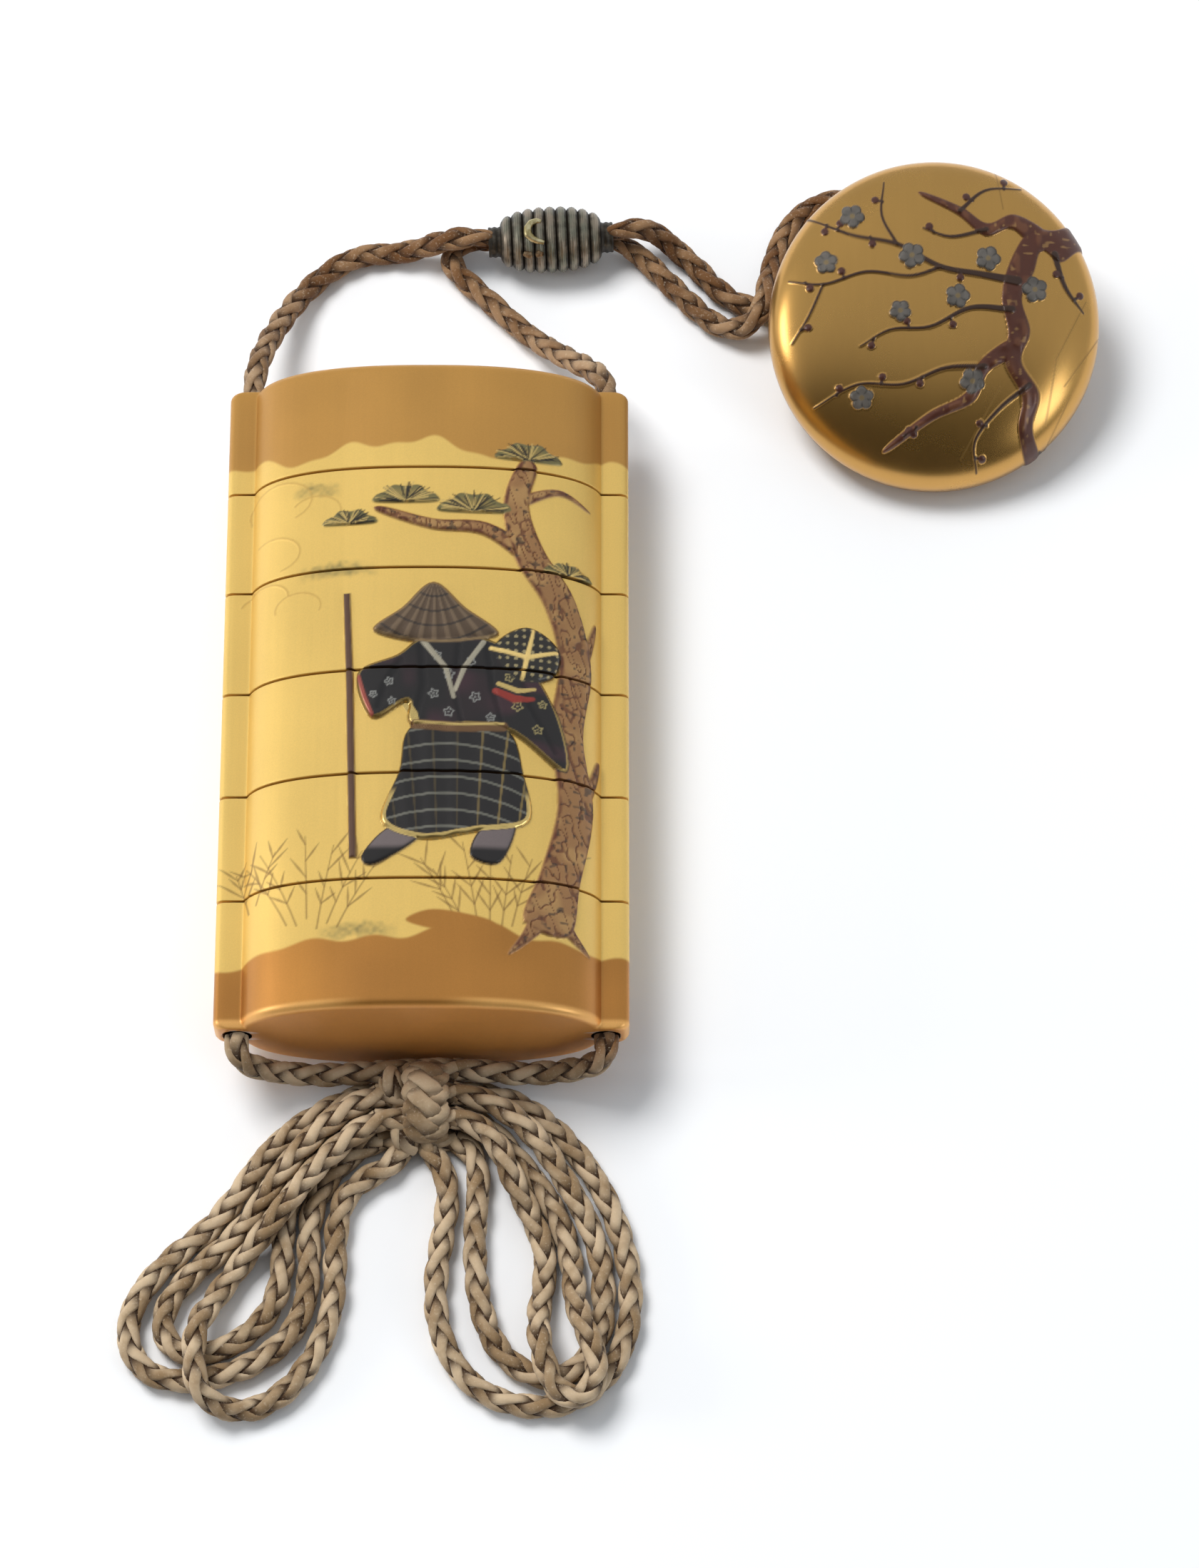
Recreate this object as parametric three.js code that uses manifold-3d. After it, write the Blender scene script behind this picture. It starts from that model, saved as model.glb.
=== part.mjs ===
// Five-case inro with its braided cord, bead and toggle, lying on its back.
// Millimetres, +Z up, +Y towards the lid, +X to the right of someone looking down on the front.
// The origin is under the middle of the inro, on the surface that it lies on.
import * as THREE from 'three';
import { mergeVertices } from 'three/addons/utils/BufferGeometryUtils.js';
import Module from 'manifold-3d';

const wasm = await Module();
wasm.setup();

// Inro body
const width = 54;
const thickness = 24;
const bottomHeight = 17.5;
const casePitch = 14.6;
const lidHeight = 15.5;
const caseCount = 5;
const inroLength = bottomHeight + (caseCount - 1) * casePitch + lidHeight;
const lidTop = inroLength / 2;
const midZ = thickness / 2;
const bodyHalfWidth = 23.7;     // the lens-shaped body, without its side runners
const lensExponent = 2.4;
const backCrown = 0.15;         // taken off the back as a flat to rest on
const runnerHalf = 3;           // half thickness of a side runner
const runnerRound = 1.2;
const endRound = 1.2;
const seamGap = 0.3;

// Walls, risers and cord channels
const socket = { a: 20.6, b: 10.5 };     // inside of the skirt that the riser plugs into
const riser = { a: 20.3, b: 10.2 };      // outside of the riser lip
const hollow = { a: 19.2, b: 9.1 };      // inside of the riser lip and of the compartment
const riserHeight = 5;
const socketDepth = riserHeight + seamGap;
const floorWall = 1.3;
const endWall = 2;
const channelX = 24;
const channelRadius = 2;

// Cord
const cordRadius = 1.45;
const cordSides = 8;
const lowerLayer = 1.6;         // centre height of cord that lies on the surface
const upperLayer = 5;           // centre height of cord that lies on other cord

// Bead
const beadLength = 17.4;
const beadRadius = 4.65;
const beadRidges = 9;
const grooveDepth = 0.4;
const collarLength = 1.7;
const collarRadius = 2.1;
const boreRadius = 1.6;
const beadCentre = new THREE.Vector3(16.3, 74.2, beadRadius);
const beadTurn = 0.05;

// Toggle
const toggleRadius = 22.7;
const toggleHalf = 7.5;
const toggleExponent = 2.2;
const toggleWall = 2.7;
const toggleHole = 4.3;
const toggleTilt = THREE.MathUtils.degToRad(20);
const toggleCentre = new THREE.Vector3(69, 57.5, 10.85);

const gold = { color: 0xdcb45e, roughness: 0.3, metalness: 0.75 };
const darkGold = { color: 0xb9873f, roughness: 0.4, metalness: 0.7 };
const silk = { color: 0x8f7355, roughness: 0.85, metalness: 0 };
const iron = { color: 0x6c675c, roughness: 0.45, metalness: 0.8 };

const inro = new THREE.Group();

function add(name, geometry, finish) {
  const mesh = new THREE.Mesh(geometry, new THREE.MeshStandardMaterial(finish));
  mesh.name = name;
  inro.add(mesh);
  return mesh;
}

// A closed three.js geometry as a solid that can be cut and joined.
function solid(geometry) {
  const bare = geometry.clone();
  bare.deleteAttribute('normal');
  bare.deleteAttribute('uv');
  const merged = mergeVertices(bare, 1e-4);
  return new wasm.Manifold(new wasm.Mesh({
    numProp: 3,
    vertProperties: new Float32Array(merged.attributes.position.array),
    triVerts: new Uint32Array(merged.index.array),
  }));
}

function geometryOf(body) {
  const mesh = body.getMesh();
  const geometry = new THREE.BufferGeometry();
  geometry.setAttribute('position', new THREE.BufferAttribute(new Float32Array(mesh.vertProperties), 3));
  geometry.setIndex(new THREE.BufferAttribute(new Uint32Array(mesh.triVerts), 1));
  return geometry;
}

// One half of a lens outline, from its right end to its left end, as heights above the mid plane.
function lensArc(a, b, edge, count) {
  const reach = a * (1 - (edge / b) ** lensExponent) ** (1 / lensExponent);
  const start = Math.acos((reach / a) ** (lensExponent / 2));
  const points = [];
  for (let i = 0; i <= count; i++) {
    const t = start + (Math.PI - 2 * start) * i / count;
    const x = a * Math.sign(Math.cos(t)) * Math.abs(Math.cos(t)) ** (2 / lensExponent);
    const z = b * Math.sin(t) ** (2 / lensExponent);
    points.push(new THREE.Vector2(x, z));
  }
  return points;
}

function lensOutline(a, b, count = 12) {
  const front = lensArc(a, b, 0, count);
  const back = front.slice(1, -1).map((p) => new THREE.Vector2(-p.x, -p.y));
  return [...front, ...back];
}

// Outer end of a runner, from back to front, with its two rounded corners.
function runnerEnd() {
  const points = [];
  for (const side of [-1, 1]) {
    for (let i = 0; i <= 2; i++) {
      const t = side < 0 ? -Math.PI / 2 + Math.PI / 4 * i : Math.PI / 4 * i;
      points.push(new THREE.Vector2(
        width / 2 - runnerRound + runnerRound * Math.cos(t),
        side * (runnerHalf - runnerRound) + runnerRound * Math.sin(t),
      ));
    }
  }
  return points;
}

// Whole outer section: lens body with a runner at each side and a flat along the back.
function bodyOutline(raise = 0) {
  const front = lensArc(bodyHalfWidth + raise, thickness / 2 + raise, runnerHalf, 18);
  const back = lensArc(bodyHalfWidth, thickness / 2 + backCrown, runnerHalf, 18);
  const flat = back.map((p) => new THREE.Vector2(-p.x, -Math.min(p.y, thickness / 2)));
  const right = runnerEnd();
  const left = right.map((p) => new THREE.Vector2(-p.x, -p.y));
  return [...right, ...front, ...left, ...flat];
}

// A section drawn in X and Z, run along Y from one height to another.
function prism(points, low, high, steps = 1) {
  const shape = new THREE.Shape(points);
  const geometry = new THREE.ExtrudeGeometry(shape, { depth: high - low, steps, bevelEnabled: false });
  geometry.rotateX(Math.PI / 2);
  geometry.translate(0, high, midZ);
  return geometry;
}

// The uncut body: both ends are rounded over, ring by ring.
function roundedBody(raise = 0) {
  const rings = 3;
  const steps = 2 * rings + 1;
  const geometry = prism(bodyOutline(raise), -lidTop, lidTop, steps);
  const place = geometry.attributes.position;
  for (let i = 0; i < place.count; i++) {
    const ring = Math.round((place.getY(i) + lidTop) / inroLength * steps);
    const fromEnd = Math.min(ring, steps - ring);
    const turn = (1 - fromEnd / rings) * Math.PI / 2;
    const inset = endRound * (1 - Math.cos(turn));
    const end = ring <= rings ? -1 : 1;
    place.setY(i, end * (lidTop - endRound * (1 - Math.sin(turn))));
    place.setX(i, place.getX(i) * (1 - inset / (width / 2)));
    place.setZ(i, midZ + (place.getZ(i) - midZ) * (1 - inset / midZ));
  }
  return geometry;
}

// Raised lacquer pictures. Each outline is drawn on the front, in X and Y, and stands proud of the lens.
function raised(points, height, smooth = true) {
  const corners = points.map(([x, y]) => new THREE.Vector2(x, y));
  const shape = new THREE.Shape();
  shape.moveTo(corners[0].x, corners[0].y);
  if (smooth) shape.splineThru([...corners.slice(1), corners[0]]);
  else corners.slice(1).forEach((p) => shape.lineTo(p.x, p.y));
  const outline = smooth ? shape.getSpacedPoints(2 * points.length) : shape.getPoints();
  if (outline[0].distanceTo(outline.at(-1)) < 0.01) outline.pop();
  const stamp = new THREE.ExtrudeGeometry(new THREE.Shape(outline), {
    depth: thickness, bevelEnabled: false,
  });
  stamp.translate(0, 0, midZ + runnerHalf);
  return solid(stamp).intersect(solid(roundedBody(height)));
}

// A band of changing width along a line of [x, y, width] points, for trunk, branch and staff.
function band(line) {
  const left = [];
  const right = [];
  line.forEach(([x, y, wide], i) => {
    const before = line[Math.max(i - 1, 0)];
    const after = line[Math.min(i + 1, line.length - 1)];
    const along = new THREE.Vector2(after[0] - before[0], after[1] - before[1]).normalize();
    right.push([x + along.y * wide / 2, y - along.x * wide / 2]);
    left.unshift([x - along.y * wide / 2, y + along.x * wide / 2]);
  });
  return [...right, ...left];
}

// A pine clump: a low fan of needles with a scalloped top.
function clump(x, y, wide) {
  const points = [];
  const lobes = 4;
  for (let i = 0; i <= 2 * lobes; i++) {
    const t = Math.PI * i / (2 * lobes);
    const reach = wide * (i % 2 ? 1 : 0.86);
    points.push([x + reach * Math.cos(t), y + 0.62 * reach * Math.sin(t)]);
  }
  return points;
}

const figure = { x: 4.6, y: -0.6 };
const at = (points) => points.map(([x, y]) => [x + figure.x, y + figure.y]);

// A traveller in a dark travelling robe and a wide sedge hat, with a staff and a bundle.
function traveller() {
  const robe = at([
    [-4.4, 6], [-8, 3.6], [-13.2, 1], [-11.2, -5.4], [-6.6, -3.2], [-5.6, -6.6], [5.8, -6.8], [13.8, -12],
    [13, -4.4], [9, 2.6], [3.4, 6],
  ]);
  const skirt = at([
    [-5.6, -6.4], [-7.6, -13], [-9.8, -19.8], [-4.6, -22.4], [2, -21.4], [9.2, -19.6], [8.6, -13],
    [5.8, -6.4],
  ]);
  const hat = at([[-11.2, 7], [-7.4, 10.4], [-3.4, 14], [0.8, 10.4], [5.2, 6.6], [-3, 5]]);
  const bundle = at([[4.6, 4.8], [8.8, 8], [13, 5.4], [12.2, 1], [7.4, 0.2]]);
  const leftFoot = at([[-8.6, -20.6], [-12.2, -24.4], [-10.6, -25.8], [-4.8, -22]]);
  const rightFoot = at([[3.2, -20.8], [1.8, -24.6], [5.6, -25.4], [7.6, -19.8]]);
  const staff = at(band([[-14.8, 12.6, 0.9], [-14.2, 0, 1], [-13.4, -24.8, 1]]));
  return [
    raised(staff, 0.45, false), raised(leftFoot, 0.5), raised(rightFoot, 0.5), raised(skirt, 0.6),
    raised(robe, 0.75), raised(bundle, 0.9), raised(hat, 1),
  ];
}

// An old pine that rises along the right of the front and reaches over the figure.
function pine() {
  const trunk = band([
    [16.2, -34.4, 6], [18, -27, 5.2], [19.9, -17, 4.6], [18.7, -7, 4.4], [19.8, 3, 4.3], [17.8, 11.5, 4.4],
    [13.8, 18, 4.2], [12, 25, 3.4], [13.6, 31, 2.4],
  ]);
  const branch = band([[14.4, 17.2, 2.4], [8, 21.2, 2], [1, 21.8, 1.6], [-6, 24, 1]]);
  const clumps = [[6.4, 23.6, 4.8], [-2.6, 25, 4.4], [-10, 22, 3.6], [13.6, 31.6, 4.4], [18.8, 15.6, 3.2]];
  return [
    raised(trunk, 0.45), raised(branch, 0.4),
    ...clumps.map(([x, y, wide]) => raised(clump(x, y, wide), 0.3)),
  ];
}

function decoratedBody() {
  let body = solid(roundedBody());
  for (const picture of [...pine(), ...traveller()]) body = body.add(picture);
  for (const side of [-1, 1]) {
    const channel = new THREE.CylinderGeometry(channelRadius, channelRadius, inroLength + 4, 12);
    channel.translate(side * channelX, 0, midZ);
    body = body.subtract(solid(channel));
  }
  return body;
}

// One member of the inro, cut out of the body between two heights, with its skirt, hollow and riser.
function member(body, low, high, { skirt, riserLip, floor }) {
  const reach = 40;
  const bottomFace = skirt ? low + seamGap / 2 : low - reach;
  const topFace = riserLip ? high - seamGap / 2 : high + reach;
  const slab = new THREE.BoxGeometry(4 * width, topFace - bottomFace, 4 * thickness);
  slab.translate(0, (topFace + bottomFace) / 2, midZ);
  let piece = body.intersect(solid(slab));
  if (riserLip) piece = piece.add(solid(prism(lensOutline(riser.a, riser.b), high - 1, high + riserHeight)));
  if (skirt) {
    const ceiling = riserLip ? low + socketDepth : high - endWall;
    piece = piece.subtract(solid(prism(lensOutline(socket.a, socket.b), low - 1, ceiling)));
  }
  if (riserLip) {
    piece = piece.subtract(solid(prism(lensOutline(hollow.a, hollow.b), floor, high + riserHeight + 1)));
  }
  return geometryOf(piece);
}

function inroMembers() {
  const body = decoratedBody();
  const lidSeam = lidTop - lidHeight;
  add('lid', member(body, lidSeam, lidTop, { skirt: true, riserLip: false }), gold);
  for (let i = 1; i <= caseCount; i++) {
    const high = lidSeam - (i - 1) * casePitch;
    const last = i === caseCount;
    const low = last ? -lidTop : high - casePitch;
    const floor = last ? low + endWall : low + socketDepth + floorWall;
    add(`case_${i}`, member(body, low, high, { skirt: !last, riserLip: true, floor }), gold);
  }
}

// Ribbed barrel bead: plain collars, then ridges that swell towards the middle, round a straight bore.
function bead() {
  const half = beadLength / 2;
  const barrelHalf = half - collarLength;
  const barrelTaper = 1.6;       // how far past the collars the barrel's curve would close
  const barrelFullness = 2.6;
  const profile = [
    new THREE.Vector2(boreRadius, -half),
    new THREE.Vector2(collarRadius, -half),
    new THREE.Vector2(collarRadius, -barrelHalf),
  ];
  for (let i = 0; i <= 2 * beadRidges; i++) {
    const along = (i / beadRidges - 1) * barrelHalf;
    const swell = (Math.abs(along) / (barrelHalf + barrelTaper)) ** barrelFullness;
    const barrel = beadRadius * (1 - swell) ** 0.5;
    const groove = i % 2 ? 0 : grooveDepth;
    profile.push(new THREE.Vector2(Math.max(barrel - groove, collarRadius + 0.3), along));
  }
  profile.push(
    new THREE.Vector2(collarRadius, barrelHalf),
    new THREE.Vector2(collarRadius, half),
    new THREE.Vector2(boreRadius, half),
    new THREE.Vector2(boreRadius, -half),
  );
  const mesh = add('ojime', new THREE.LatheGeometry(profile, 16), iron);
  mesh.rotation.z = beadTurn - Math.PI / 2;
  mesh.position.copy(beadCentre);
}

// Half of a bun-shaped toggle, open at the joint: an outer dome, the joint face and a hollow inside.
function toggleHalfProfile(up, gap, hole) {
  const rows = 7;
  const inner = { r: toggleRadius - toggleWall, h: toggleHalf - toggleWall };
  const dome = (r, h, t) => new THREE.Vector2(
    r * Math.cos(t) ** (2 / toggleExponent),
    up * Math.max(gap, h * Math.sin(t) ** (2 / toggleExponent)),
  );
  const profile = [];
  const topTurn = (r) => (hole ? Math.acos((hole / r) ** (toggleExponent / 2)) : Math.PI / 2);
  for (let i = 0; i <= rows; i++) {
    profile.push(dome(toggleRadius, toggleHalf, topTurn(toggleRadius) * i / rows));
  }
  for (let i = rows - 2; i >= 0; i--) {
    profile.push(dome(inner.r, inner.h, topTurn(inner.r) * i / (rows - 2)));
  }
  if (!hole) {
    profile[rows].x = 0;
    profile[rows + 1].x = 0;
  }
  profile.push(profile[0].clone());
  return up > 0 ? profile : profile.reverse();
}

function toggle() {
  const halves = [['netsuke_front', 1, 0], ['netsuke_back', -1, toggleHole]];
  for (const [name, up, hole] of halves) {
    const profile = toggleHalfProfile(up, seamGap / 2, hole);
    const geometry = new THREE.LatheGeometry(profile, 32);
    geometry.rotateX(Math.PI / 2);
    const mesh = add(name, geometry, gold);
    mesh.rotation.x = toggleTilt;
    mesh.position.copy(toggleCentre);
  }
}

// One stretch of round cord along its route, from end face to end face.
function cord(name, route, steps) {
  const points = route.map((p) => new THREE.Vector3(...p));
  const curve = new THREE.CatmullRomCurve3(points, false, 'centripetal');
  const section = [];
  for (let i = 0; i < cordSides; i++) {
    const t = 2 * Math.PI * (i + 0.5) / cordSides;
    section.push(new THREE.Vector2(cordRadius * Math.cos(t), cordRadius * Math.sin(t)));
  }
  add(name, new THREE.ExtrudeGeometry(new THREE.Shape(section), { steps, extrudePath: curve }), silk);
}

const low = lowerLayer;
const top = upperLayer;

// From the bead's near end down to the lid, through the inro's channels, and round under the bottom case.
function runs() {
  cord('cord_upper_left', [
    [-24, 46.1, 12], [-24, 48.6, 11.7], [-23.6, 52.2, 10.2], [-22.7, 56.2, 8], [-21.4, 60.1, 5.8],
    [-19.8, 63.9, 3.8], [-17.9, 67.2, 2.3], [-15.4, 70, low], [-12.5, 72.1, low], [-9.2, 73.3, low],
    [-5.6, 73.5, 1.8], [-2.2, 73.6, 3], [1, 73.7, 5], [4, 73.75, 6.1], [6.9, 73.75, 6.3],
  ], 6);
  cord('cord_upper_right', [
    [24, 46.1, 12], [23.8, 48.6, 11.5], [22.2, 51.4, 9.6], [19.5, 54.2, 7], [16.5, 57.2, 4.4],
    [13.6, 60.2, 2.4], [10.6, 63.2, low], [7.8, 66, low], [5.2, 68.5, low], [3, 70.9, low],
    [2.4, 73.4, 1.7], [4.2, 75, 2.3], [6.9, 74.4, 3],
  ], 7);
  for (const [side, x] of [['left', -channelX], ['right', channelX]]) {
    cord(`cord_channel_${side}`, [[x, 45.5, midZ], [x, -45.5, midZ]], 1);
  }
  cord('cord_tie_left', [
    [-24, -46.1, 12], [-23.9, -47.6, 11.5], [-22.9, -48.5, 9.7], [-20.6, -48.6, 7], [-17.4, -48.4, 4.8],
    [-13.8, -48.3, 3.8], [-9.8, -48.3, 4.3], [-5.6, -48.2, top],
  ], 4);
  cord('cord_tie_right', [
    [24, -46.1, 12], [23.9, -47.6, 11.5], [22.9, -48.4, 9.7], [20.6, -48.4, 7], [17.2, -48.2, 4.8],
    [13.4, -48.1, 3.8], [9, -48, 4.3], [4.1, -47.9, top],
  ], 4);
}

// From the bead's far end to the hole in the back of the toggle: one run straight, one round its rim.
function toggleRuns() {
  cord('cord_toggle_direct', [
    [25.7, 74.7, 6.4], [28.2, 75.3, 6], [31, 75.3, 4.3], [33.8, 73.8, 2.4], [36.8, 71.1, low],
    [39.3, 68.2, low], [42, 66, low], [45.2, 64.9, low], [50, 64.2, low], [55, 64.2, low],
    [60, 64.4, low], [64, 63.6, low], [66.8, 61.8, 2.2], [67.55, 60.4, 3.7], [67.5, 59.6, 5.2],
  ], 7);
  cord('cord_toggle_round', [
    [25.7, 74.5, 3.1], [27.8, 73.7, 2.2], [30, 71.9, low], [32.3, 69.4, low], [34.9, 66.6, low],
    [37.4, 64, low], [40.2, 61.9, 2.1], [43.2, 61.2, 3.6], [45.4, 62.8, 5], [46.2, 65.6, 5],
    [46.9, 69.2, 3.4], [47.9, 73.5, 1.9], [49.8, 77.6, low], [53.2, 80.8, low], [58, 82, low],
    [63, 80.5, low], [67, 76.5, low], [69.8, 71, low], [70.7, 66, low], [70.7, 62.7, 2.3],
    [70.6, 60.7, 3.7], [70.6, 59.7, 5.2],
  ], 11);
}

// The spare length, gathered in a bow: three loops to each side of the knot.
function bowLoops() {
  cord('cord_loop_left_1', [
    [-5.6, -50, low], [-9.4, -51, low], [-13.4, -52.9, low], [-17.4, -55.7, low], [-20.8, -59.3, low],
    [-23.9, -63.9, low], [-27.4, -68.4, low], [-31.6, -72.1, low], [-35.2, -75.9, low],
    [-37.4, -80.2, low], [-37.4, -84.6, low], [-34.9, -87.9, low], [-30.6, -89, low],
    [-25.6, -88.3, low], [-20.8, -86.3, low], [-17, -83, low], [-15, -78.6, low], [-14.6, -73.6, low],
    [-14.6, -68.6, low], [-13.6, -64.4, low], [-11.5, -60.9, low], [-8.8, -58.3, low], [-5.6, -56.5, low],
  ], 10);
  cord('cord_loop_left_2', [
    [-5.6, -51.5, top], [-9.2, -53, top], [-13, -55.9, top], [-16.4, -59.4, 4.6], [-19.4, -63.4, 3.6],
    [-22.6, -67.8, 2.1], [-26.2, -71.7, low], [-30, -75.2, low], [-32.8, -79.2, low], [-33, -82.9, low],
    [-30.4, -85.4, low], [-26.2, -85, low], [-22.2, -82.7, low], [-19.3, -79.2, low], [-18.1, -74.6, low],
    [-18, -69.4, low], [-17.2, -64.6, low], [-15.2, -60.1, low], [-12.2, -56.6, low], [-8.8, -54.3, low],
    [-5.6, -53.2, low],
  ], 10);
  cord('cord_loop_left_3', [
    [-5.6, -54.9, top], [-8.5, -56.5, top], [-11.4, -59, top], [-14.6, -62.4, top], [-17.8, -66.6, top],
    [-21.2, -70.8, 3.5], [-24.4, -75, 2.2], [-27, -79.2, 3.2], [-28.6, -82.6, 4.9], [-28.9, -86.8, 5.2],
    [-28.2, -90.6, 4.9], [-25.6, -92.7, 3.1], [-21.8, -92.8, 1.7], [-17.8, -90.8, low],
    [-14.6, -87.2, low], [-12.4, -82.6, low], [-11.3, -77.6, low], [-11.2, -72.6, low],
    [-11, -68.2, low], [-9.9, -64.4, low], [-7.4, -61.9, low], [-4.5, -60.2, low], [-2.6, -57.9, low],
  ], 11);
  cord('cord_loop_right_1', [
    [4.1, -50, low], [8.4, -50.4, low], [12.8, -51.9, low], [17, -55, low], [20.8, -59.3, low],
    [23.8, -64.3, low], [25.9, -69.8, low], [27, -75.4, low], [26.9, -81.2, low], [25.2, -86.4, low],
    [21.8, -90.4, low], [17, -92.3, low], [11.8, -92, low], [7.2, -89.8, low], [3.8, -85.6, low],
    [2.1, -80.2, low], [2, -74.6, low], [2.8, -69, low], [3.3, -64, low], [2.5, -60.4, low],
    [0.8, -57.8, low],
  ], 10);
  cord('cord_loop_right_2', [
    [4.1, -51.2, top], [8.2, -52.2, top], [12.2, -54.6, top], [15.6, -58.1, 4.4], [18.4, -62.3, 3.5],
    [21.2, -67.2, 2.6], [23.1, -72.4, 1.7], [23.6, -77.6, low], [23.1, -82.8, low], [20.6, -87, low],
    [16.6, -88.6, low], [12.6, -87.2, low], [9.6, -84, low], [7.9, -79.6, low], [7.1, -74.6, low],
    [6.9, -69.4, low], [7.2, -64.6, low], [7.2, -60.8, low], [6.2, -58.2, low], [4.1, -56.6, low],
  ], 10);
  cord('cord_loop_right_3', [
    [4.1, -54.5, top], [7.4, -55.8, top], [10, -58.6, 4.8], [11.9, -62.6, 3.8], [14.1, -66.9, 2.2],
    [15.9, -71.6, low], [15.9, -76.2, low], [15.3, -80.2, 2.6], [15.4, -84.2, 4.9], [16.2, -87.9, 5.2],
    [17.7, -91, 5.2], [20.3, -92, 5.2], [22.4, -90, 5.2], [22.6, -86.8, 5.2], [21.4, -83.2, top],
    [20.1, -79.2, 3.5], [19.6, -74.2, low], [18.4, -69, low], [16.2, -64.4, low], [13, -60, low],
    [9.7, -56.2, low], [7, -54, low], [4.1, -53, low],
  ], 11);
}

// The bow's knot: a rounded lump of cord with a raised wrap round its middle.
function bowKnot() {
  const slabs = [
    { left: -4.9, right: 3.4, back: -47.2, front: -56.8, low: 0.2, high: 6.8, round: 1.2 },
    { left: -2.9, right: 3.1, back: -47, front: -56.6, low: 0.6, high: 8, round: 1.3 },
  ];
  const lumps = slabs.map((s) => {
    const shape = new THREE.Shape();
    const r = s.round;
    const [x0, x1, y0, y1] = [s.left + r, s.right - r, s.front + r, s.back - r];
    shape.absarc(x1, y1, r / 2, 0, Math.PI / 2);
    shape.absarc(x0, y1, r / 2, Math.PI / 2, Math.PI);
    shape.absarc(x0, y0, r / 2, Math.PI, 1.5 * Math.PI);
    shape.absarc(x1, y0, r / 2, 1.5 * Math.PI, 2 * Math.PI);
    const geometry = new THREE.ExtrudeGeometry(shape, {
      depth: s.high - s.low - 2 * r, curveSegments: 2, bevelEnabled: true, bevelSize: r / 2,
      bevelThickness: r, bevelSegments: 1,
    });
    geometry.translate(0, 0, s.low + r);
    return solid(geometry);
  });
  add('bow_knot', geometryOf(lumps[0].add(lumps[1])), silk);
}

inroMembers();
bead();
toggle();
runs();
toggleRuns();
bowLoops();
bowKnot();

export default inro;
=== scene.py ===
import math

import bpy
import numpy as np
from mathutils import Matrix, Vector


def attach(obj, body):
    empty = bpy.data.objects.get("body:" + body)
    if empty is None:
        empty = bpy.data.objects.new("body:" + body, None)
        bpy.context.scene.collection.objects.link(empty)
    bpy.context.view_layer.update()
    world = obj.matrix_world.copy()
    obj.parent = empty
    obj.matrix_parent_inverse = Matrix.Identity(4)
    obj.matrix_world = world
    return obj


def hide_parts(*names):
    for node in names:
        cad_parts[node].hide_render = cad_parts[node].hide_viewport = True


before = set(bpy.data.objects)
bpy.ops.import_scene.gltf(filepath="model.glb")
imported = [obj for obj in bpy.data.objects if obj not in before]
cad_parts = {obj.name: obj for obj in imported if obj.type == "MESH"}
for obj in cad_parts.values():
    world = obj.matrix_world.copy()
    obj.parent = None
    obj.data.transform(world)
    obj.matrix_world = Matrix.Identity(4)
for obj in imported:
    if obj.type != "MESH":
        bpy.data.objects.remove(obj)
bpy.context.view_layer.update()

# ---------------------------------------------------------------- table top, camera and lamps
# The inro lies on a plain pale table of matt paper. The camera leans over its lower end, and the
# main lamp is a broad soft one high above its upper left, so shadows fall softly to the right.
MM = 0.001


class Value:
    """A socket of a node tree; arithmetic on it adds Math nodes to that tree."""

    def __init__(self, tree, socket):
        self.tree = tree
        self.socket = socket

    def math(self, how, *rest):
        return self.tree.node("ShaderNodeMath", dict(enumerate([self, *rest])), operation=how)

    def __add__(self, other):
        return self.math("ADD", other)

    __radd__ = __add__

    def __mul__(self, other):
        return self.math("MULTIPLY", other)

    __rmul__ = __mul__

    def __sub__(self, other):
        return self.math("SUBTRACT", other)

    def __rsub__(self, other):
        return self.tree.node("ShaderNodeMath", {0: other, 1: self}, operation="SUBTRACT")

    def __truediv__(self, other):
        return self.math("DIVIDE", other)

    def step(self, low, high):
        """0 below low, 1 above high, smooth between."""
        return self.tree.node(
            "ShaderNodeMapRange", {"Value": self, "From Min": low, "From Max": high},
            interpolation_type="SMOOTHSTEP",
        )


class Tree:
    """A node tree with one method that adds any node."""

    def __init__(self, tree):
        self.tree = tree

    def node(self, kind, inputs=None, output=0, **settings):
        made = self.tree.nodes.new(kind)
        for name, setting in settings.items():
            setattr(made, name, setting)
        for name, value in (inputs or {}).items():
            if isinstance(value, Value):
                self.tree.links.new(value.socket, made.inputs[name])
            else:
                made.inputs[name].default_value = value
        return Value(self, made.outputs[output])

    def mix(self, share, first, second):
        """One colour turning into another as share goes from 0 to 1."""
        colours = {6: first, 7: second}
        colours = {k: v if isinstance(v, Value) else (*v, 1) for k, v in colours.items()}
        return self.node("ShaderNodeMix", {0: share, **colours}, 2, data_type="RGBA")

    def noise(self, place, scale, detail):
        return self.node("ShaderNodeTexNoise", {"Vector": place, "Scale": scale, "Detail": detail})

    def stored(self, name, output="Fac"):
        """A value that each point of the mesh brings along."""
        return self.node("ShaderNodeAttribute", output=output, attribute_name=name)

    def scaled(self, direction, amount):
        return self.node("ShaderNodeVectorMath", {0: direction, "Scale": amount}, operation="SCALE")

    def vector(self, how, *inputs):
        output = 1 if how in ("LENGTH", "DOT_PRODUCT") else 0
        return self.node("ShaderNodeVectorMath", dict(enumerate(inputs)), output, operation=how)


def finish(name, **constant):
    """A new material, its tree and its surface shader, with the given plain values."""
    material = bpy.data.materials.new(name)
    material.use_nodes = True
    surface = material.node_tree.nodes["Principled BSDF"]
    for socket, value in constant.items():
        surface.inputs[socket.replace("_", " ")].default_value = value
    return material, Tree(material.node_tree), surface


def feed(tree, surface, socket, value):
    tree.tree.links.new(value.socket, surface.inputs[socket])


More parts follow.
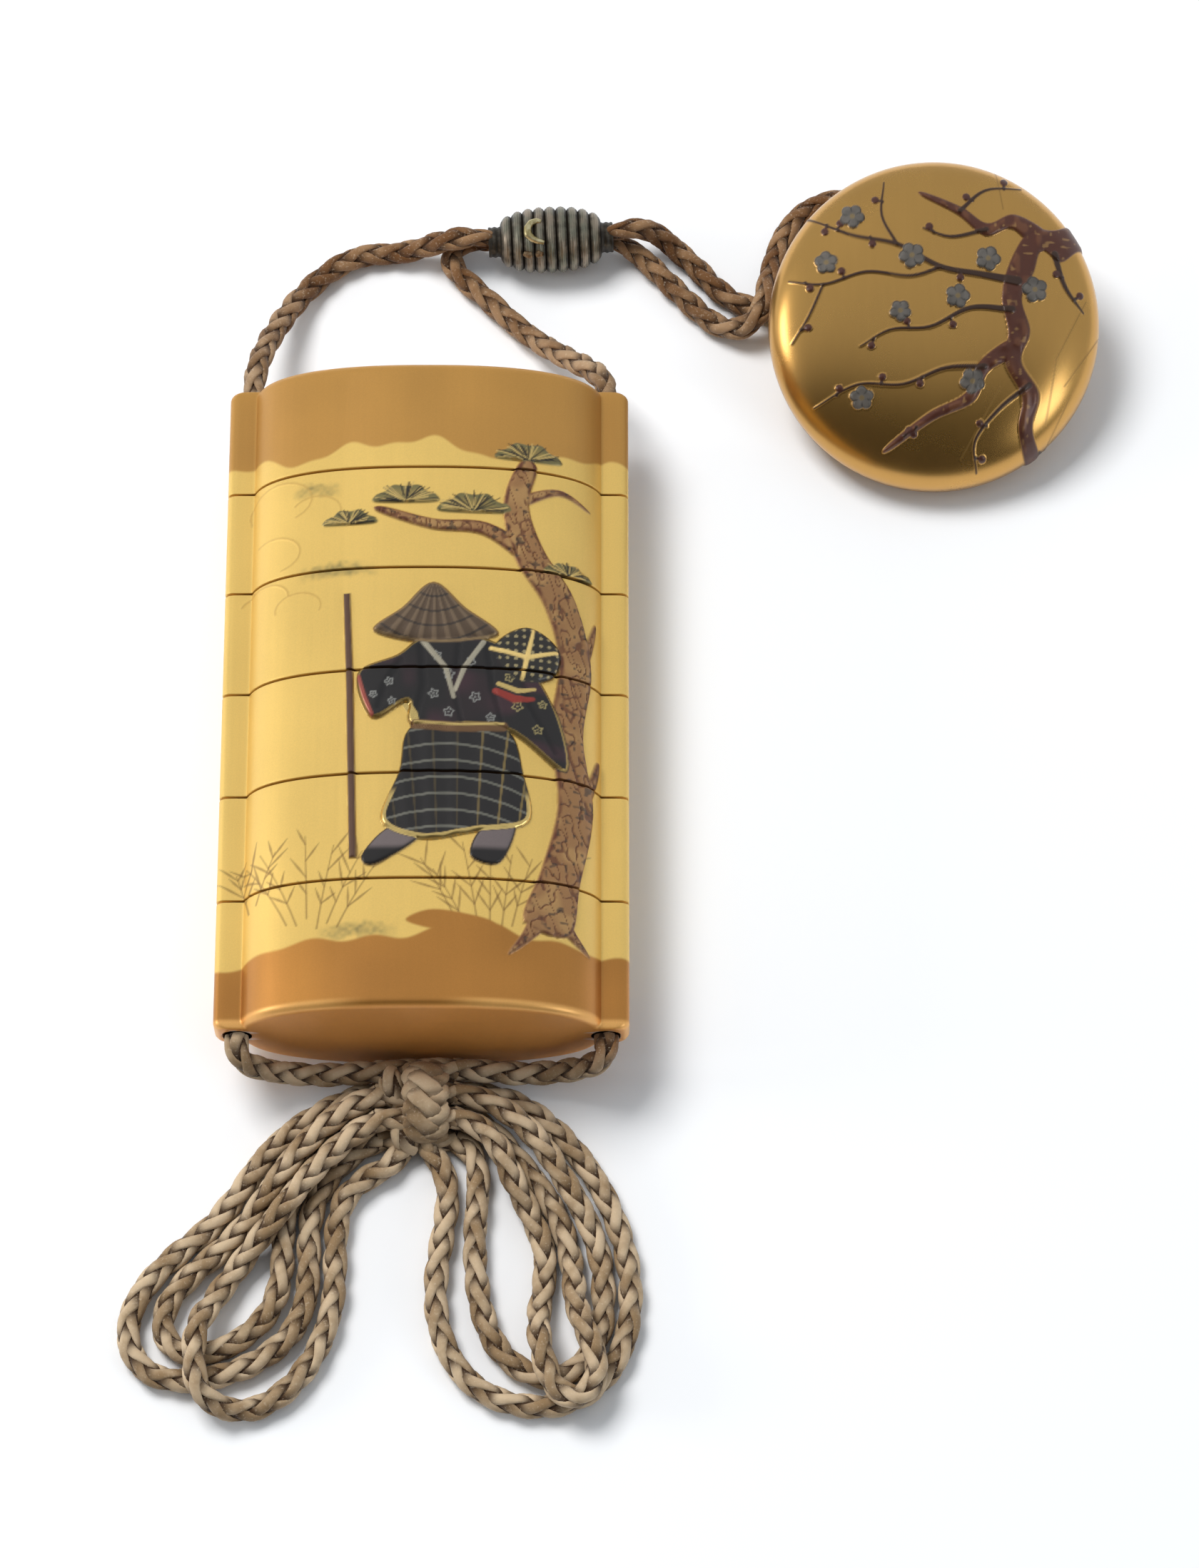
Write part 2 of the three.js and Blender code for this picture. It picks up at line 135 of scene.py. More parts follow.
def added(name, data):
    """A new object of the given data, put into the scene."""
    made = bpy.data.objects.new(name, data)
    bpy.context.scene.collection.objects.link(made)
    return made


def mesh_object(name, points, faces, material):
    mesh = bpy.data.meshes.new(name)
    mesh.from_pydata(points, [], faces)
    mesh.materials.append(material)
    return added(name, mesh)


paper, paper_tree, paper_surface = finish("pale_table", Roughness=0.9, Specular_IOR_Level=0.1)
fibre = paper_tree.node("ShaderNodeTexNoise", {"Scale": 30.0, "Detail": 3.0})
feed(paper_tree, paper_surface, "Base Color",
     paper_tree.mix(fibre, (0.90, 0.90, 0.905), (0.93, 0.93, 0.93)))
table_half = 2.5
table_corners = [(x * table_half, y * table_half, 0) for x, y in ((-1, -1), (1, -1), (1, 1), (-1, 1))]
table = mesh_object("table_top", table_corners, [(0, 1, 2, 3)], paper)

camera_lean = math.radians(21.67)
camera_data = bpy.data.cameras.new("camera")
camera_data.lens = 119.2
camera_data.sensor_width = 36
camera_data.clip_start = 0.05
camera = added("camera", camera_data)
camera.location = (0.0231, -0.2642, 0.6505)
camera.rotation_euler = (camera_lean, 0, 0)
bpy.context.scene.camera = camera


def lamp(name, place, size, power, tint=(1, 1, 1), mirrored=True):
    """A soft rectangular lamp that faces the origin; one that isn't mirrored leaves no highlight."""
    data = bpy.data.lights.new(name, "AREA")
    data.shape = "RECTANGLE"
    data.size, data.size_y = size
    data.energy = power
    data.color = tint
    made = added(name, data)
    made.location = place
    made.rotation_euler = (-Vector(place)).to_track_quat("-Z", "Y").to_euler()
    made.visible_glossy = mirrored


lamp("main_softbox", (-0.42, 0.4, 1.05), (0.5, 0.5), 11.5, mirrored=False)
lamp("left_wall", (-1.0, 0.0, 0.35), (0.36, 0.26), 2.2)
lamp("right_reflector", (0.8, -0.5, 0.42), (0.35, 0.35), 1.6, tint=(0.86, 0.93, 1))


def studio_world():
    """Pale walls and ceiling all round, but a dark room on the camera's side."""
    world = bpy.data.worlds.new("studio")
    world.use_nodes = True
    tree = Tree(world.node_tree)
    way = tree.node("ShaderNodeTexCoord", output="Generated")
    front = tree.node("ShaderNodeSeparateXYZ", {0: way}, "Y") * -1
    dark = front.step(0.2, 0.62)
    sky = world.node_tree.nodes["Background"]
    sky.inputs["Strength"].default_value = 0.58
    feed(tree, sky, "Color", tree.mix(dark, (0.88, 0.94, 1.0), (0.04, 0.035, 0.03)))
    return world


bpy.context.scene.world = studio_world()
bpy.context.scene.view_settings.view_transform = "Standard"

# ---------------------------------------------------------------- silk cord
# One long cord, plaited round from eight flat strands of silk, each passing over two and under
# two. It runs through both sides of the inro and through the bead to the toggle, and its spare
# length is tied up in a bow below.
strand_half_width = 0.74 * MM
strand_half_depth = 0.46 * MM
strand_lay = 0.98 * MM
strand_swing = 0.22 * MM
plait_pitch = 17.0 * MM
plait_twist = 110.0 * MM
cord_step = 0.42 * MM
strand_count = 8
in_bead = 0.6
low = 1.76
top = 5.0


def braid_tree():
    """Geometry nodes that plait the strands round a route."""
    group = bpy.data.node_groups.new("round_plait", "GeometryNodeTree")
    face = group.interface
    face.new_socket("Route", in_out="INPUT", socket_type="NodeSocketGeometry")
    sizes = {
        "Step": cord_step, "Half Width": strand_half_width, "Half Depth": strand_half_depth,
        "Lay Radius": strand_lay, "Swing": strand_swing, "Pitch": plait_pitch, "Twist": plait_twist,
    }
    for name, value in sizes.items():
        face.new_socket(name, in_out="INPUT", socket_type="NodeSocketFloat").default_value = value
    face.new_socket("Silk", in_out="INPUT", socket_type="NodeSocketMaterial")
    face.new_socket("Cord", in_out="OUTPUT", socket_type="NodeSocketGeometry")
    tree = Tree(group)
    entry = group.nodes.new("NodeGroupInput")
    given = {s.name: Value(tree, s) for s in entry.outputs if s.name}
    line = tree.node("GeometryNodeResampleCurve", {"Curve": given["Route"], "Length": given["Step"]},
                     mode="LENGTH")
    copies = tree.node("GeometryNodeDuplicateElements", {"Geometry": line, "Amount": strand_count},
                       domain="SPLINE")
    number = Value(tree, copies.socket.node.outputs["Duplicate Index"])
    along = tree.node("GeometryNodeSplineParameter", output="Length")
    squeeze = tree.node("GeometryNodeInputRadius")
    turns = along / given["Pitch"] * (2 * math.pi)
    hand = 1 - number.math("MODULO", 2) * 2
    column = turns * hand + (number / 2).math("FLOOR") * (4 * math.pi / strand_count)
    over = hand * (column * 2 + math.pi / 4).math("COSINE")
    angle = column + along / given["Twist"] * (2 * math.pi)
    out = (given["Lay Radius"] + given["Swing"] * over) * squeeze
    tangent = tree.node("GeometryNodeInputTangent")
    normal = tree.node("GeometryNodeInputNormal")
    side = tree.vector("CROSS_PRODUCT", tangent, normal)

    outward = tree.vector(
        "ADD", tree.scaled(normal, angle.math("COSINE")), tree.scaled(side, angle.math("SINE")),
    )
    noted = copies
    for name, kind, value in (
        ("outward", "FLOAT_VECTOR", outward), ("strand", "FLOAT", number), ("over", "FLOAT", over),
        ("out", "FLOAT", out),
    ):
        noted = tree.node(
            "GeometryNodeStoreNamedAttribute", {"Geometry": noted, "Name": name, "Value": value},
            data_type=kind, domain="POINT",
        )

    def recalled(name, kind):
        return tree.node("GeometryNodeInputNamedAttribute", {"Name": name}, data_type=kind)

    offset = tree.scaled(recalled("outward", "FLOAT_VECTOR"), recalled("out", "FLOAT"))
    laid = tree.node("GeometryNodeSetPosition", {"Geometry": noted, "Offset": offset})
    faced = tree.node("GeometryNodeSetCurveNormal", {
        "Curve": laid, "Normal": recalled("outward", "FLOAT_VECTOR"),
    }, mode="FREE")
    rim = tree.node("GeometryNodeCurvePrimitiveCircle", {"Resolution": 8, "Radius": 1.0})
    flat = tree.node("GeometryNodeTransform", {
        "Geometry": rim,
        "Scale": tree.node("ShaderNodeCombineXYZ", {"X": given["Half Depth"], "Y": given["Half Width"]}),
    })
    fat = tree.node("GeometryNodeCurveToMesh", {
        "Curve": faced, "Profile Curve": flat, "Scale": squeeze, "Fill Caps": True,
    })
    smooth = tree.node("GeometryNodeSetShadeSmooth", {"Geometry": fat})
    real = tree.node("GeometryNodeRealizeInstances", {"Geometry": smooth})
    dyed = tree.node("GeometryNodeSetMaterial", {"Geometry": real, "Material": given["Silk"]})
    leave = group.nodes.new("NodeGroupOutput")
    group.links.new(dyed.socket, leave.inputs["Cord"])
    return group


plait = braid_tree()


def emboss(tree, surface, strength, depth, height):
    """Roughens a surface with fine bumps of the given depth in metres."""
    bump = tree.node("ShaderNodeBump", {"Strength": strength, "Distance": depth, "Height": height})
    feed(tree, surface, "Normal", bump)


def silk_finish():
    """Faded tan silk, redder towards the bead and at one hole, with painted shade where strands dive under
    others.
    """
    material, tree, surface = finish("plaited_silk", Specular_IOR_Level=0.22, Sheen_Weight=0.08)
    place = tree.node("ShaderNodeTexCoord", output="Object")
    across = tree.node("ShaderNodeSeparateXYZ", {0: place}, "X")
    height = tree.node("ShaderNodeSeparateXYZ", {0: place}, "Y")
    over = tree.stored("over")
    strand = tree.stored("strand")
    blotch = tree.noise(place, 230.0, 3.0)
    fibres = tree.noise(place, 3000.0, 2.0)
    upper = height.step(0.02, 0.075)
    fade = (blotch + (strand * 2.4).math("SINE") * 0.12).step(0.3, 0.7)
    worn = tree.mix(fade, (0.27, 0.175, 0.09), (0.56, 0.42, 0.27))
    red = tree.mix(fade, (0.14, 0.062, 0.022), (0.29, 0.165, 0.08))
    at_right_hole = across.step(0.0195, 0.0225) * height.step(-0.051, -0.0475)
    at_right_hole = at_right_hole * (1 - height.step(-0.04, -0.03))
    dyed = tree.mix(upper + at_right_hole, worn, red)
    # Painted shade: the silk darkens where a strand dives under the others.
    painted_shade = over.step(0.75, -0.45)
    shaded = tree.mix(painted_shade * 0.95, dyed, (0.034, 0.014, 0.005))
    feed(tree, surface, "Base Color", tree.mix(fibres.step(0.55, 0.75) * 0.3, shaded, (0.66, 0.54, 0.4)))
    feed(tree, surface, "Roughness", 0.6 + fibres * 0.2)
    emboss(tree, surface, 0.4, 0.0001, fibres)
    return material


silk = silk_finish()


def smooth_route(points, step=0.5):
    """The centripetal curve through a route's points, in metres, sampled every step millimetres.

    Where a point has only two numbers, the cord lies on the table.
    """
    points = [np.array(p if len(p) == 3 else [*p, low], float) for p in points]
    ends = [2 * points[0] - points[1], *points, 2 * points[-1] - points[-2]]
    line = []
    for p0, p1, p2, p3 in zip(ends, ends[1:], ends[2:], ends[3:]):
        t1 = np.linalg.norm(p1 - p0) ** 0.5
        t2 = t1 + np.linalg.norm(p2 - p1) ** 0.5
        t3 = t2 + np.linalg.norm(p3 - p2) ** 0.5
        for t in np.linspace(t1, t2, max(2, round(np.linalg.norm(p2 - p1) / step)), endpoint=False):
            a1 = (t1 - t) / t1 * p0 + t / t1 * p1
            a2 = (t2 - t) / (t2 - t1) * p1 + (t - t1) / (t2 - t1) * p2
            a3 = (t3 - t) / (t3 - t2) * p2 + (t - t2) / (t3 - t2) * p3
            b1 = (t2 - t) / t2 * a1 + t / t2 * a2
            b2 = (t3 - t) / (t3 - t1) * a2 + (t - t1) / (t3 - t1) * a3
            line.append((t2 - t) / (t2 - t1) * b1 + (t - t1) / (t2 - t1) * b2)
    line.append(points[-1])
    return np.array(line) * MM


def run_along(line):
    """The distance gone along a line at each of its points."""
    return np.concatenate([[0], np.cumsum(np.linalg.norm(np.diff(line, axis=0), axis=1))])


def squeezed(path, at_start=1.0, at_end=1.0, over=6 * MM):
    """How tight the cord is drawn along its path: 1 where it is free, less towards a tight end."""
    run = run_along(path)
    tight = np.ones(len(path))
    for share, gone in ((at_start, run), (at_end, run[-1] - run)):
        tight *= 1 - (1 - share) * np.clip(1 - gone / over, 0, 1) ** 1.5
    return tight


def plain_mesh(source):
    """The finished mesh of an object, with its modifiers worked in."""
    view = bpy.context.evaluated_depsgraph_get()
    return bpy.data.meshes.new_from_object(source.evaluated_get(view))


def braid(name, path, tight, pitch=plait_pitch):
    """A plaited cord along a path, as a plain mesh."""
    curve = bpy.data.curves.new(name, "CURVE")
    curve.dimensions = "3D"
    spline = curve.splines.new("POLY")
    spline.points.add(len(path) - 1)
    for point, place, radius in zip(spline.points, path, tight):
        point.co = (*place, 1)
        point.radius = radius
    route = added(name + "_route", curve)
    maker = route.modifiers.new("plait", "NODES")
    maker.node_group = plait
    chosen = {"Silk": silk, "Pitch": pitch}
    for socket in plait.interface.items_tree:
        if socket.name in chosen:
            maker[socket.identifier] = chosen[socket.name]
    mesh = plain_mesh(route)
    mesh.name = name
    bpy.data.objects.remove(route)
    return added(name, mesh)


def cord_piece(name, points, nodes, start_tight=1.0, end_tight=1.0):
    """A stretch of the cord: plaited, and riding with the inro."""
    path = smooth_route(points)
    made = braid(name, path, squeezed(path, start_tight, end_tight))
    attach(made, "root")
    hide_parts(*nodes)


left_side = [
    [-5.6, -48.2, top], [-9.8, -48.3, 4.3], [-13.8, -48.3, 3.8], [-17.4, -48.4, 4.8], [-20.6, -48.6, 7],
    [-22.9, -48.5, 9.7], [-23.9, -47.6, 11.5], [-24, -46.1, 12], [-24, 0, 12], [-24, 46.1, 12],
    [-24, 48.6, 11.7], [-23.6, 52.2, 10.2], [-22.7, 56.2, 8], [-21.4, 60.1, 5.8], [-19.8, 63.9, 3.8],
    [-17.9, 67.2, 2.3], [-15.4, 70], [-12.5, 72.1], [-9.2, 73.3], [-5.6, 73.5, 1.8], [-2.2, 73.6, 3],
    [1, 73.7, 5], [4, 73.75, 6.1], [6.9, 73.75, 6.1], [8.6, 73.8, 5.5],
]
right_side = [
    [4.1, -47.9, top], [9, -48, 4.3], [13.4, -48.1, 3.8], [17.2, -48.2, 4.8], [20.6, -48.4, 7],
    [22.9, -48.4, 9.7], [23.9, -47.6, 11.5], [24, -46.1, 12], [24, 0, 12], [24, 46.1, 12],
    [23.8, 48.6, 11.5], [22.2, 51.4, 9.6], [19.5, 54.2, 7], [16.5, 57.2, 4.4], [13.6, 60.2, 2.4],
    [10.6, 63.2], [7.8, 66], [5.2, 68.5], [3, 70.9], [2.4, 73.4, 1.7], [4.2, 75, 2.3], [6.9, 74.4, 3.2],
    [8.6, 74.1, 3.8],
]
for side, points in (("left", left_side), ("right", right_side)):
    nodes = [f"cord_{part}_{side}" for part in ("tie", "channel", "upper")]
    cord_piece("cord_" + side, points, nodes, end_tight=in_bead)
toggle_direct = [
    [24, 74.6, 5.6], [25.7, 74.7, 6.2], [28.2, 75.3, 6], [31, 75.3, 4.3], [33.8, 73.8, 2.4],
    [36.8, 71.1], [39.3, 68.2], [42, 66], [45.2, 64.9], [50, 64.2], [55, 64.2], [60, 64.4], [64, 63.6],
    [66.8, 61.8, 2.2], [67.55, 60.4, 3.7], [67.5, 59.6, 5.2],
]
toggle_round = [
    [24, 74.5, 3.7], [25.7, 74.5, 3.2], [27.8, 73.7, 2.2], [30, 71.9], [32.3, 69.4], [34.9, 66.6],
    [37.4, 64], [40.2, 61.9, 2.1], [43.2, 61.2, 3.6], [45.4, 62.8, 5], [46.2, 65.6, 5],
    [46.9, 69.2, 3.4], [47.9, 73.5, 1.9], [49.8, 77.6], [53.2, 80.8], [58, 82], [63, 80.5], [67, 76.5],
    [69.8, 71], [70.7, 66], [70.7, 62.7, 2.3], [70.6, 60.7, 3.7], [70.6, 59.7, 5.2],
]
cord_piece("cord_to_toggle", toggle_direct, ["cord_toggle_direct"], start_tight=in_bead)
cord_piece("cord_round_toggle", toggle_round, ["cord_toggle_round"], start_tight=in_bead)

bow_loops = {
    "left_1": [
        [-5.6, -50], [-9.4, -51], [-13.4, -52.9], [-17.4, -55.7], [-20.8, -59.3], [-23.9, -63.9],
        [-27.4, -68.4], [-31.6, -72.1], [-35.2, -75.9], [-37.4, -80.2], [-37.4, -84.6], [-34.9, -87.9],
        [-30.6, -89], [-25.6, -88.3], [-20.8, -86.3], [-17, -83], [-15, -78.6], [-14.6, -73.6],
        [-14.6, -68.6], [-13.6, -64.4], [-11.5, -60.9], [-8.8, -58.3], [-5.6, -56.5],
    ],
    "left_2": [
        [-5.6, -51.5, top], [-9.2, -53, top], [-13, -55.9, top], [-16.4, -59.4, 4.6],
        [-19.4, -63.4, 3.6], [-22.6, -67.8, 2.1], [-26.2, -71.7], [-30, -75.2], [-32.8, -79.2],
        [-33, -82.9], [-30.4, -85.4], [-26.2, -85], [-22.2, -82.7], [-19.3, -79.2], [-18.1, -74.6],
        [-18, -69.4], [-17.2, -64.6], [-15.2, -60.1], [-12.2, -56.6], [-8.8, -54.3], [-5.6, -53.2],
    ],
    "left_3": [
        [-5.6, -54.9, top], [-8.5, -56.5, top], [-11.4, -59, top], [-14.6, -62.4, top],
        [-17.8, -66.6, top], [-21.2, -70.8, 3.5], [-24.4, -75, 2.2], [-27, -79.2, 3.2],
        [-28.6, -82.6, 4.9], [-28.9, -86.8, 5.2], [-28.2, -90.6, 4.9], [-25.6, -92.7, 3.1],
        [-21.8, -92.8, 1.7], [-17.8, -90.8], [-14.6, -87.2], [-12.4, -82.6], [-11.3, -77.6],
        [-11.2, -72.6], [-11, -68.2], [-9.9, -64.4], [-7.4, -61.9], [-4.5, -60.2], [-2.6, -57.9],
    ],
    "right_1": [
        [4.1, -50], [8.4, -50.4], [12.8, -51.9], [17, -55], [20.8, -59.3], [23.8, -64.3], [25.9, -69.8],
        [27, -75.4], [26.9, -81.2], [25.2, -86.4], [21.8, -90.4], [17, -92.3], [11.8, -92],
        [7.2, -89.8], [3.8, -85.6], [2.1, -80.2], [2, -74.6], [2.8, -69], [3.3, -64], [2.5, -60.4],
        [0.8, -57.8],
    ],
    "right_2": [
        [4.1, -51.2, top], [8.2, -52.2, top], [12.2, -54.6, top], [15.6, -58.1, 4.4],
        [18.4, -62.3, 3.5], [21.2, -67.2, 2.6], [23.1, -72.4, 1.7], [23.6, -77.6], [23.1, -82.8],
        [20.6, -87], [16.6, -88.6], [12.6, -87.2], [9.6, -84], [7.9, -79.6], [7.1, -74.6], [6.9, -69.4],
        [7.2, -64.6], [7.2, -60.8], [6.2, -58.2], [4.1, -56.6],
    ],
    "right_3": [
        [4.1, -54.5, top], [7.4, -55.8, top], [10, -58.6, 4.8], [11.9, -62.6, 3.8], [14.1, -66.9, 2.2],
        [15.9, -71.6], [15.9, -76.2], [15.3, -80.2, 2.6], [15.4, -84.2, 4.9], [16.2, -87.9, 5.2],
        [17.7, -91, 5.2], [20.3, -92, 5.2], [22.4, -90, 5.2], [22.6, -86.8, 5.2], [21.4, -83.2, top],
        [20.1, -79.2, 3.5], [19.6, -74.2], [18.4, -69], [16.2, -64.4], [13, -60], [9.7, -56.2],
        [7, -54], [4.1, -53],
    ],
}
for place, points in bow_loops.items():
    cord_piece("bow_" + place, points, ["cord_loop_" + place])

# ---------------------------------------------------------------- inro: lid and cases
# Six thin-walled tiers of lacquered wood that plug into each other, each with a riser lip that
# stands up inside the skirt of the one above. A cord channel runs down the runner at each side.
case_width = 54.0
case_depth = 24.0
mid_z = case_depth / 2
lens_half_width = 23.7
lens_exponent = 2.4
back_crown = 0.15
runner_half = 3.0
runner_round = 1.2
end_round = 1.2
seam_gap = 0.3
seam_bevel = 0.14
bottom_height = 17.5
case_pitch = 14.6
lid_height = 15.5
case_count = 5
inro_length = bottom_height + (case_count - 1) * case_pitch + lid_height
lid_top = inro_length / 2
socket_size = (20.6, 10.5)
riser_size = (20.3, 10.2)
hollow_size = (19.2, 9.1)
riser_height = 5.0
socket_depth = riser_height + seam_gap
floor_wall = 1.3
end_wall = 2.0
channel_x = 24.0
channel_radius = 2.0
channel_sides = 32
inside_channels = 6.0
fine_step = 0.165
back_step = 0.6
crease = math.radians(50)


def lens_height(x, half_width, half_depth):
    return half_depth * np.maximum(1 - np.abs(x / half_width) ** lens_exponent, 0) ** (1 / lens_exponent)


def half_section(half_depth, limit):
    """The section's front half, from its right side to its left, with softened inner corners."""
    turn = np.linspace(0, math.pi / 2, 24)
    end_x = case_width / 2 - runner_round + runner_round * np.cos(turn)
    end_z = runner_half - runner_round + runner_round * np.sin(turn)
    t = np.linspace(0, math.pi, 900)
    lens_x = lens_half_width * np.sign(np.cos(t)) * np.abs(np.cos(t)) ** (2 / lens_exponent)
    keep = lens_height(lens_x, lens_half_width, half_depth) > runner_half
    lens_x = lens_x[keep]
    lens_z = np.minimum(lens_height(lens_x, lens_half_width, half_depth), limit)
    right = np.column_stack([np.concatenate([[case_width / 2], end_x]), np.concatenate([[0], end_z])])
    line = np.vstack([right, np.column_stack([lens_x, lens_z]), right[::-1] * (-1, 1)])
    line = resampled(line, 0.05)
    soft = np.array([np.convolve(np.pad(line[:, i], 5, mode="edge"), np.ones(11) / 11, "valid")
                     for i in (0, 1)]).T
    soft[0], soft[-1] = line[0], line[-1]
    return soft


def resampled(line, step):
    """Points evenly spaced along a line."""
    run = run_along(line)
    at = np.linspace(0, run[-1], max(2, round(run[-1] / step) + 1))
    return np.column_stack([np.interp(at, run, line[:, i]) for i in range(line.shape[1])])


front_half = resampled(half_section(case_depth / 2, case_depth), fine_step)
back_half = resampled(half_section(case_depth / 2 + back_crown, case_depth / 2), back_step)
section = np.vstack([front_half, back_half[1:-1] * (-1, -1)])
section_angle = np.arctan2(section[:, 1], section[:, 0])
on_front = np.arange(len(section)) < len(front_half)
tangent = np.roll(section, -1, axis=0) - np.roll(section, 1, axis=0)
section_outward = np.column_stack([tangent[:, 1], -tangent[:, 0]])
section_outward /= np.linalg.norm(section_outward, axis=1)[:, None]


def lens_ring(size, y):
    """A ring of the inner lens shape, point for point opposite the outer section."""
    a, b = size
    reach = (np.abs(np.cos(section_angle) / a) ** lens_exponent
             + np.abs(np.sin(section_angle) / b) ** lens_exponent) ** (-1 / lens_exponent)
    return np.column_stack([reach * np.cos(section_angle), np.full(len(section), y),
                            mid_z + reach * np.sin(section_angle)])


def skin_rows(low, high, low_round, high_round):
    """Heights and insets of the outer skin's rows, from bottom to top, with its end roundings."""
    def rounding(size):
        turn = np.linspace(0, math.pi / 2, 4 if size < 1 else 12)
        return [(size * (1 - math.sin(t)), size * (1 - math.cos(t))) for t in turn]

    foot = [(low + y, inset) for y, inset in rounding(low_round)[::-1]]
    head = [(high - y, inset) for y, inset in rounding(high_round)]
    straight = high - high_round - low - low_round
    inner = np.linspace(low + low_round, high - high_round, round(straight / fine_step) + 1)[1:-1]
    if low_round >= 1:
        foot = [(low, inside_channels), (low, low_round + 0.5)] + foot
    if high_round >= 1:
        head += [(high, high_round + 0.5), (high, inside_channels)]
    return foot + [(y, 0.0) for y in inner] + head


def ring_faces(numbers):
    """The faces between each ring of point numbers and the next."""
    before, after = np.array(numbers[:-1]), np.array(numbers[1:])
    corners = [before, after, np.roll(after, -1, axis=1), np.roll(before, -1, axis=1)]
    return np.stack(corners, axis=-1).reshape(-1, 4)


def solid_of_rings(name, rings, material):
    """A closed solid lofted through rings of equal counts, capped at both ends."""
    points = np.vstack(rings)
    number = np.arange(len(points)).reshape(len(rings), -1)
    sides = np.roll(ring_faces(number), -1, axis=1)
    faces = [*sides.tolist(), number[0].tolist(), number[-1, ::-1].tolist()]
    return mesh_object(name, points * MM, faces, material)


def channel_rods():
    """Two rods, longer than the inro, that cut the cord channels."""
    turn = np.linspace(0, 2 * math.pi, channel_sides, endpoint=False)
    half = inro_length / 2 + 5
    rods = []
    for side in (-1, 1):
        x = side * channel_x + channel_radius * np.cos(turn)
        z = mid_z + channel_radius * np.sin(turn)
        rings = [np.column_stack([x, np.full(channel_sides, y), z]) for y in (half, -half)]
        rods.append(solid_of_rings("channel", rings, silk))
    return rods


def cut_channels(made, lining):
    """Cuts the channels and lines them with lacquer of the given colour."""
    rods = channel_rods()
    for rod in rods:
        count = len(rod.data.vertices)
        store(rod.data, np.tile(lining, (count, 1)), np.full(count, 0.5), np.full(count, 0.45))
        cut = made.modifiers.new("channel", "BOOLEAN")
        cut.operation = "DIFFERENCE"
        cut.solver = "MANIFOLD"
        cut.object = rod
    mesh = plain_mesh(made)
    made.modifiers.clear()
    made.data = mesh
    for rod in rods:
        bpy.data.objects.remove(rod)


def smoothed(made):
    """Shades a piece smooth, with its creases kept sharp."""
    made.data.shade_smooth()
    made.data.set_sharp_from_angle(angle=crease)


ground_gold = (0.83, 0.55, 0.150)
top_gold = (0.53, 0.27, 0.062)
foot_gold = (0.50, 0.215, 0.045)
# a lighter gold for the end face, as painted light that lifts its shade
painted_light_under_gold = (0.72, 0.315, 0.070)
# the gold of the painted highlight along the lower end's rounded edge
highlight_gold = (0.88, 0.46, 0.135)
inside_gold = (0.36, 0.17, 0.045)
bright_gold = (0.88, 0.62, 0.22)
ink = (0.020, 0.017, 0.016)
silver = (0.34, 0.33, 0.30)
bark = (0.36, 0.185, 0.075)
rust = (0.12, 0.040, 0.020)
moss = (0.20, 0.17, 0.07)
line_brown = (0.20, 0.10, 0.03)
grain_cells = 64


def grain(x, y, size, seed):
    """Smooth seeded noise from 0 to 1, with patches of about the given size."""
    grid = np.random.default_rng(seed).random((grain_cells, grain_cells))
    u, v = x / size, y / size
    i, j = np.floor(u).astype(int), np.floor(v).astype(int)
    fu, fv = ramp(u - i, 0, 1), ramp(v - j, 0, 1)
    i, j = i % grain_cells, j % grain_cells
    i1, j1 = (i + 1) % grain_cells, (j + 1) % grain_cells
    low_row = grid[i, j] * (1 - fu) + grid[i1, j] * fu
    high_row = grid[i, j1] * (1 - fu) + grid[i1, j1] * fu
    return low_row * (1 - fv) + high_row * fv


def ramp(value, low, high):
    t = np.clip((value - low) / (high - low), 0, 1)
    return t * t * (3 - 2 * t)


def rounded(points, per_side=7):
    """A closed smooth outline through its corner points."""
    p = np.array(points, float)
    before, after, beyond = np.roll(p, 1, 0), np.roll(p, -1, 0), np.roll(p, -2, 0)
    t = np.linspace(0, 1, per_side, endpoint=False)[None, :, None]
    a, b, c, d = before[:, None], p[:, None], after[:, None], beyond[:, None]
    bend = (2 * a - 5 * b + 4 * c - d) * t**2 + (3 * b - a - 3 * c + d) * t**3
    return (b + 0.5 * ((c - a) * t + bend)).reshape(-1, 2)


def to_segment(x, y, a, b):
    """How far from a to b the nearest spot lies for each point, and the distance to that spot."""
    dx, dy = b[0] - a[0], b[1] - a[1]
    t = np.clip(((x - a[0]) * dx + (y - a[1]) * dy) / (dx * dx + dy * dy + 1e-12), 0, 1)
    return t, np.hypot(x - a[0] - t * dx, y - a[1] - t * dy)


def inside(outline, x, y):
    """Distance from the outline's edge in millimetres, positive inside."""
    nearest = np.full(x.shape, 1e9)
    within = np.zeros(x.shape, bool)
    for a, b in zip(outline, np.roll(outline, -1, axis=0)):
        nearest = np.minimum(nearest, to_segment(x, y, a, b)[1])
        if a[1] != b[1]:
            across = (b[0] - a[0]) * (y - a[1]) / (b[1] - a[1]) + a[0]
            within ^= ((a[1] > y) != (b[1] > y)) & (x < across)
    return np.where(within, nearest, -nearest)


def on_stroke(line, x, y):
    """Distance inside a brush stroke of [x, y, width] points, positive on the stroke."""
    best = np.full(x.shape, -1e9)
    for a, b in zip(line, line[1:]):
        t, away = to_segment(x, y, a, b)
        best = np.maximum(best, (a[2] + (b[2] - a[2]) * t) / 2 - away)
    return best


